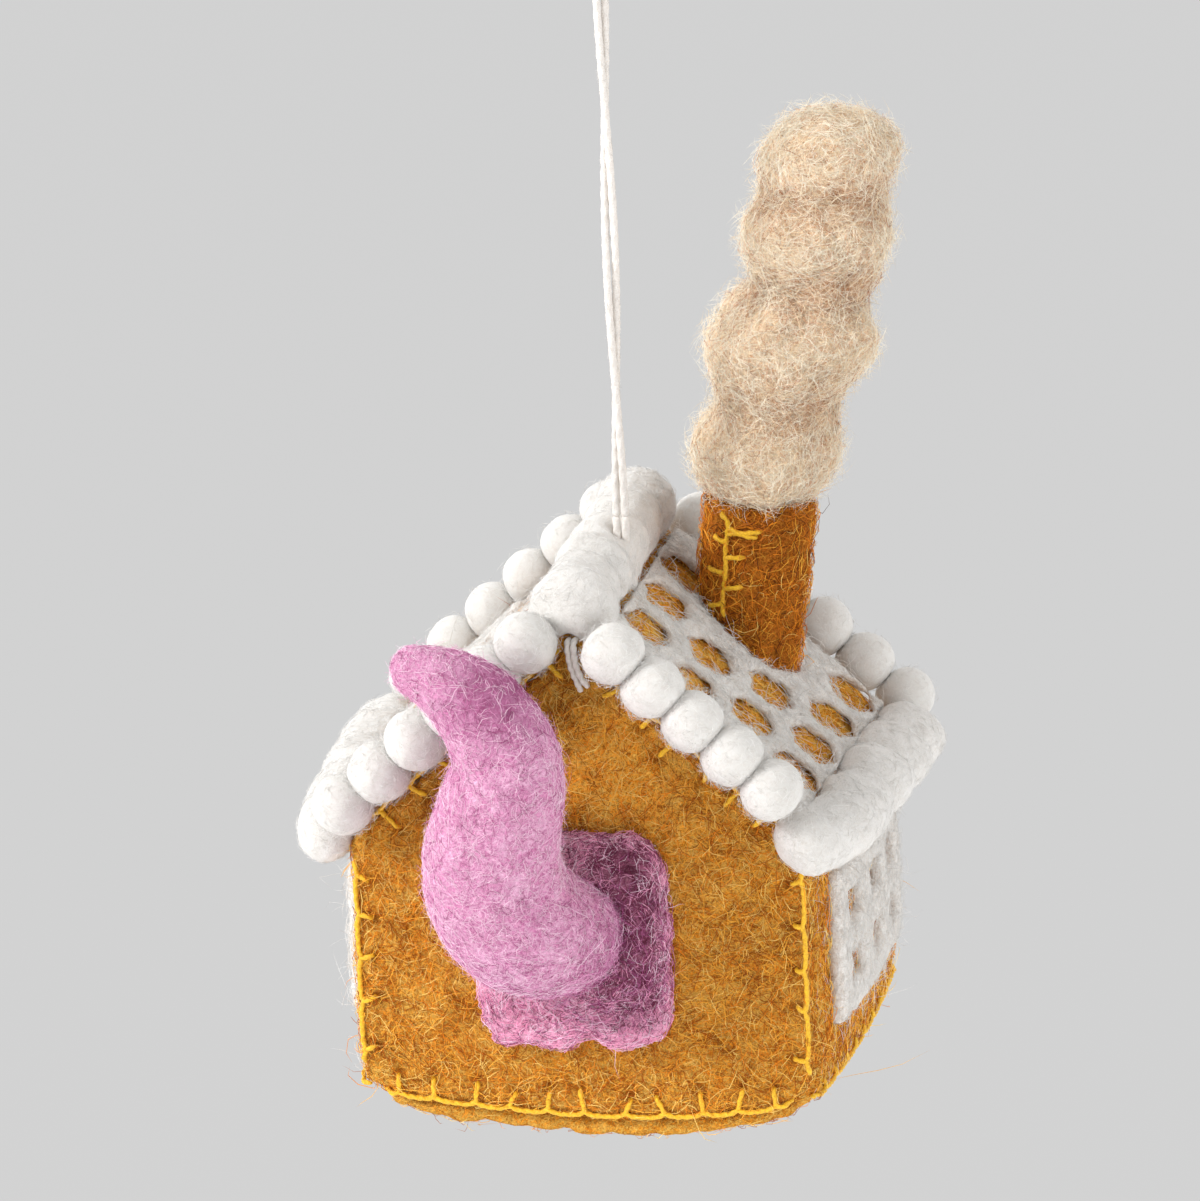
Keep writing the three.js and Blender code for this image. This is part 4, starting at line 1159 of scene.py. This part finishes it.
# tail
tailSettings = {"voxel": 0.7, "soften": 10, "swell": 0.3, "round": 1, "lumps": [(9, 0.9), (2.5, 0.35)],
                "pull": 0.1, "pullFrom": (-6, 27), "pullAim": 0.7, "pullBelow": 36,
                "bendShade": 0.75, "bendX": (-6, 7), "bendZ": (64, 6),
                "rootShade": 0.35, "rootX": (2, 8), "rootZ": (34, -10)}
tailFuzz = {"count": 8200, "length": 2.8, "curl": 2.4, "loose": 0.16, "rise": 0.9, "lift": 0.35,
            "thick": 0.07, "seed": 82, "rings": 3, "slot": "lilac_wool",
            "tones": [("petal", 0.46), ("lilac", 0.38), ("mauve", 0.16)]}
tailHalo = {**tailFuzz, "count": 2200, "length": 2.0, "curl": 2.0, "loose": 0.9, "rise": 1.5, "bend": 0.9,
            "lift": 0.4, "thick": 0.05, "seed": 83, "rings": 2, "tones": [("petal", 0.7), ("lilac", 0.3)]}
tailRootWisps = {**tailFuzz, "count": 1500, "length": 3.4, "curl": 1.8, "loose": 0.15, "rise": 1.0,
                 "lift": 0.8, "thick": 0.075, "seed": 84, "free": 0.3, "facing": (0, -1, 0), "edge": -0.3,
                 "zones": [((4.5, -35, 22), 11, True)],
                 "tones": [("petal", 0.2), ("lilac", 0.5), ("mauve", 0.3)]}


def tailRule(spots):  # the root is drawn in where it joins the patch, low on the right
    s = tailSettings
    spots = spots.copy()
    x, z = s["pullFrom"]
    reach = np.clip((spots[:, 0] - x) * s["pullAim"] - (spots[:, 2] - z) * s["pullAim"], 0, None)
    reach = reach * (spots[:, 2] < s["pullBelow"])
    spots[:, 0] -= s["pullAim"] * s["pull"] * reach
    spots[:, 2] += s["pullAim"] * s["pull"] * reach
    return spots


# darker mauve round the bend; low on the right of the root, painted shade where the root meets the patch,
# with the lilac turning purple towards it
def tailShade(spots):
    s = tailSettings
    bend = bell(spots[:, 0], *s["bendX"]) * bell(spots[:, 2], *s["bendZ"])
    root = ramp(spots[:, 0], *s["rootX"]) * ramp(spots[:, 2], *s["rootZ"])
    return s["bendShade"] * bend + s["rootShade"] * root


tail = feltCopy("tail", "tail_wool", tailSettings, tailRule)
shadeBy(tail, tailShade)
settle(tail, lilacWool, ["tail"])
fuzz("tail_fuzz", [tail], tailFuzz)
fuzz("tail_halo", [tail], tailHalo)
fuzz("tail_root_wisps", [tail, patch], tailRootWisps)
print("tail and patch made")

# floss down the chimney's seam: spine points are across, up and out, legs a height, a reach and a rise,
# and the points of a leg shares of its reach and rise, and how far it bows out
chimneySeam = {"foot": (17, 13, 52.72), "lean": 6, "angle": -22, "height": 21.4, "footRadius": 6.8,
               "topRadius": 7.5, "lift": 0.5, "sink": -0.7,
               "spine": [(0, 5.4, -0.6), (0.1, 6, 0.5), (-0.15, 9, 0.5), (0.1, 12, 0.5), (-0.1, 15.5, 0.5),
                         (0.05, 19.2, 0.5), (-0.9, 20.1, 0.5), (-1.2, 20.6, -0.6)],
               "legs": [(7.4, -2.6, -0.9), (9.6, 2.3, 0.5), (11.8, -3.3, 0.1), (14.2, 2.4, 0.3),
                        (16.3, -2.2, 0.4), (17.6, 4.6, 0.9), (18.6, 4.0, -0.9)],
               "legShape": [(0, 0, 0), (0.5, 0.6, 0.25), (0.9, 1, 0)]}


def onChimney(across, height, out):  # across round the tube, up its side, out of the felt
    s = chimneySeam
    radius = s["footRadius"] + (s["topRadius"] - s["footRadius"]) * height / s["height"] + out
    turn = math.radians(s["angle"]) - math.pi / 2 + across / radius
    lean = math.radians(s["lean"])
    x, y, z = radius * math.cos(turn), radius * math.sin(turn), height
    x, z = x * math.cos(lean) + z * math.sin(lean), z * math.cos(lean) - x * math.sin(lean)
    return np.array(s["foot"]) + np.array((x, y, z))


def addChimneySeam(s):
    routes = [smoothRoute([onChimney(*point) for point in s["spine"]])]
    for height, across, rise in s["legs"]:
        leg = []
        for far, up, bow in s["legShape"]:
            leg.append(onChimney(across * far, height + rise * up, s["lift"] + bow))
        leg.append(onChimney(across, height + rise, s["sink"]))
        routes.append(smoothRoute(leg))
    routes = [flare(route) + house / mm for route in routes]
    seam = yarn("chimney_seam_floss", routes, flossSettings, yellowFloss)
    settle(seam, yellowFloss, ["chimney_seam"])


addChimneySeam(chimneySeam)
print("chimney seam made")

# thread ends at the apex
tieSettings = {"radius": 0.5, "groove": 0.15, "plies": 2, "lay": 2.4, "sides": 10}
tieEnds = [
    [(0.0, -28.6, 65.6), (0.0, -30.2, 65.0), (0.4, -30.6, 62.4), (1.2, -30.5, 60.0), (1.7, -30.3, 58.6)],
    [(0.9, -28.6, 65.6), (0.9, -30.5, 65.2), (1.2, -31.0, 62.8), (2.0, -31.1, 60.6), (2.8, -30.7, 59.4)]]
tieRoutes = [smoothRoute(route) + house / mm for route in tieEnds]
tie = yarn("ball_tie_thread", tieRoutes, tieSettings, cotton)
settle(tie, cotton, ["ball_tie"])

# the cord's root inside the ridge: points of a strand are a distance apart, a place fore or aft and a drop
rootSettings = {"strand": [(0.625, 0, -0.1), (0.625, 0, 1.5), (0.6, 0.2, 6), (0.62, -0.1, 13)],
                "end": (0.7, 0, 1), "knotZ": 56.89, "turns": 3, "points": 60, "step": 0.4, "radius": 2.7,
                "width": (0.75, 0.2), "tight": 0.8, "wander": 0.83, "high": 1.7, "climb": (0.37, 0.5)}


def addRoot(s):
    top, knotZ = -cordSettings["length"], house[2] / mm + s["knotZ"]
    apart, aft, above = s["end"]
    strands = []
    for side in (1, -1):
        points = [(side * x, y, top - drop) for x, y, drop in s["strand"]]
        strands.append([*points, (side * apart, aft, knotZ + above)])
    turn = np.linspace(0, 2 * math.pi * s["turns"], s["points"])
    least, more = s["width"]
    wide = s["radius"] * (least + more * np.sin(turn * s["wander"])) * s["tight"]
    often, shift = s["climb"]
    height = knotZ + s["high"] * np.sin(turn * often + shift)
    knot = np.stack((wide * np.cos(turn), wide * np.sin(turn), height), axis=1)
    routes = [smoothRoute(strand) for strand in strands] + [smoothRoute(knot, s["step"])]
    root = yarn("cord_root_yarn", routes, cordSettings["yarn"], cotton)
    settle(root, cotton, ["cord_root"])


addRoot(rootSettings)
print("ties and cord root made")
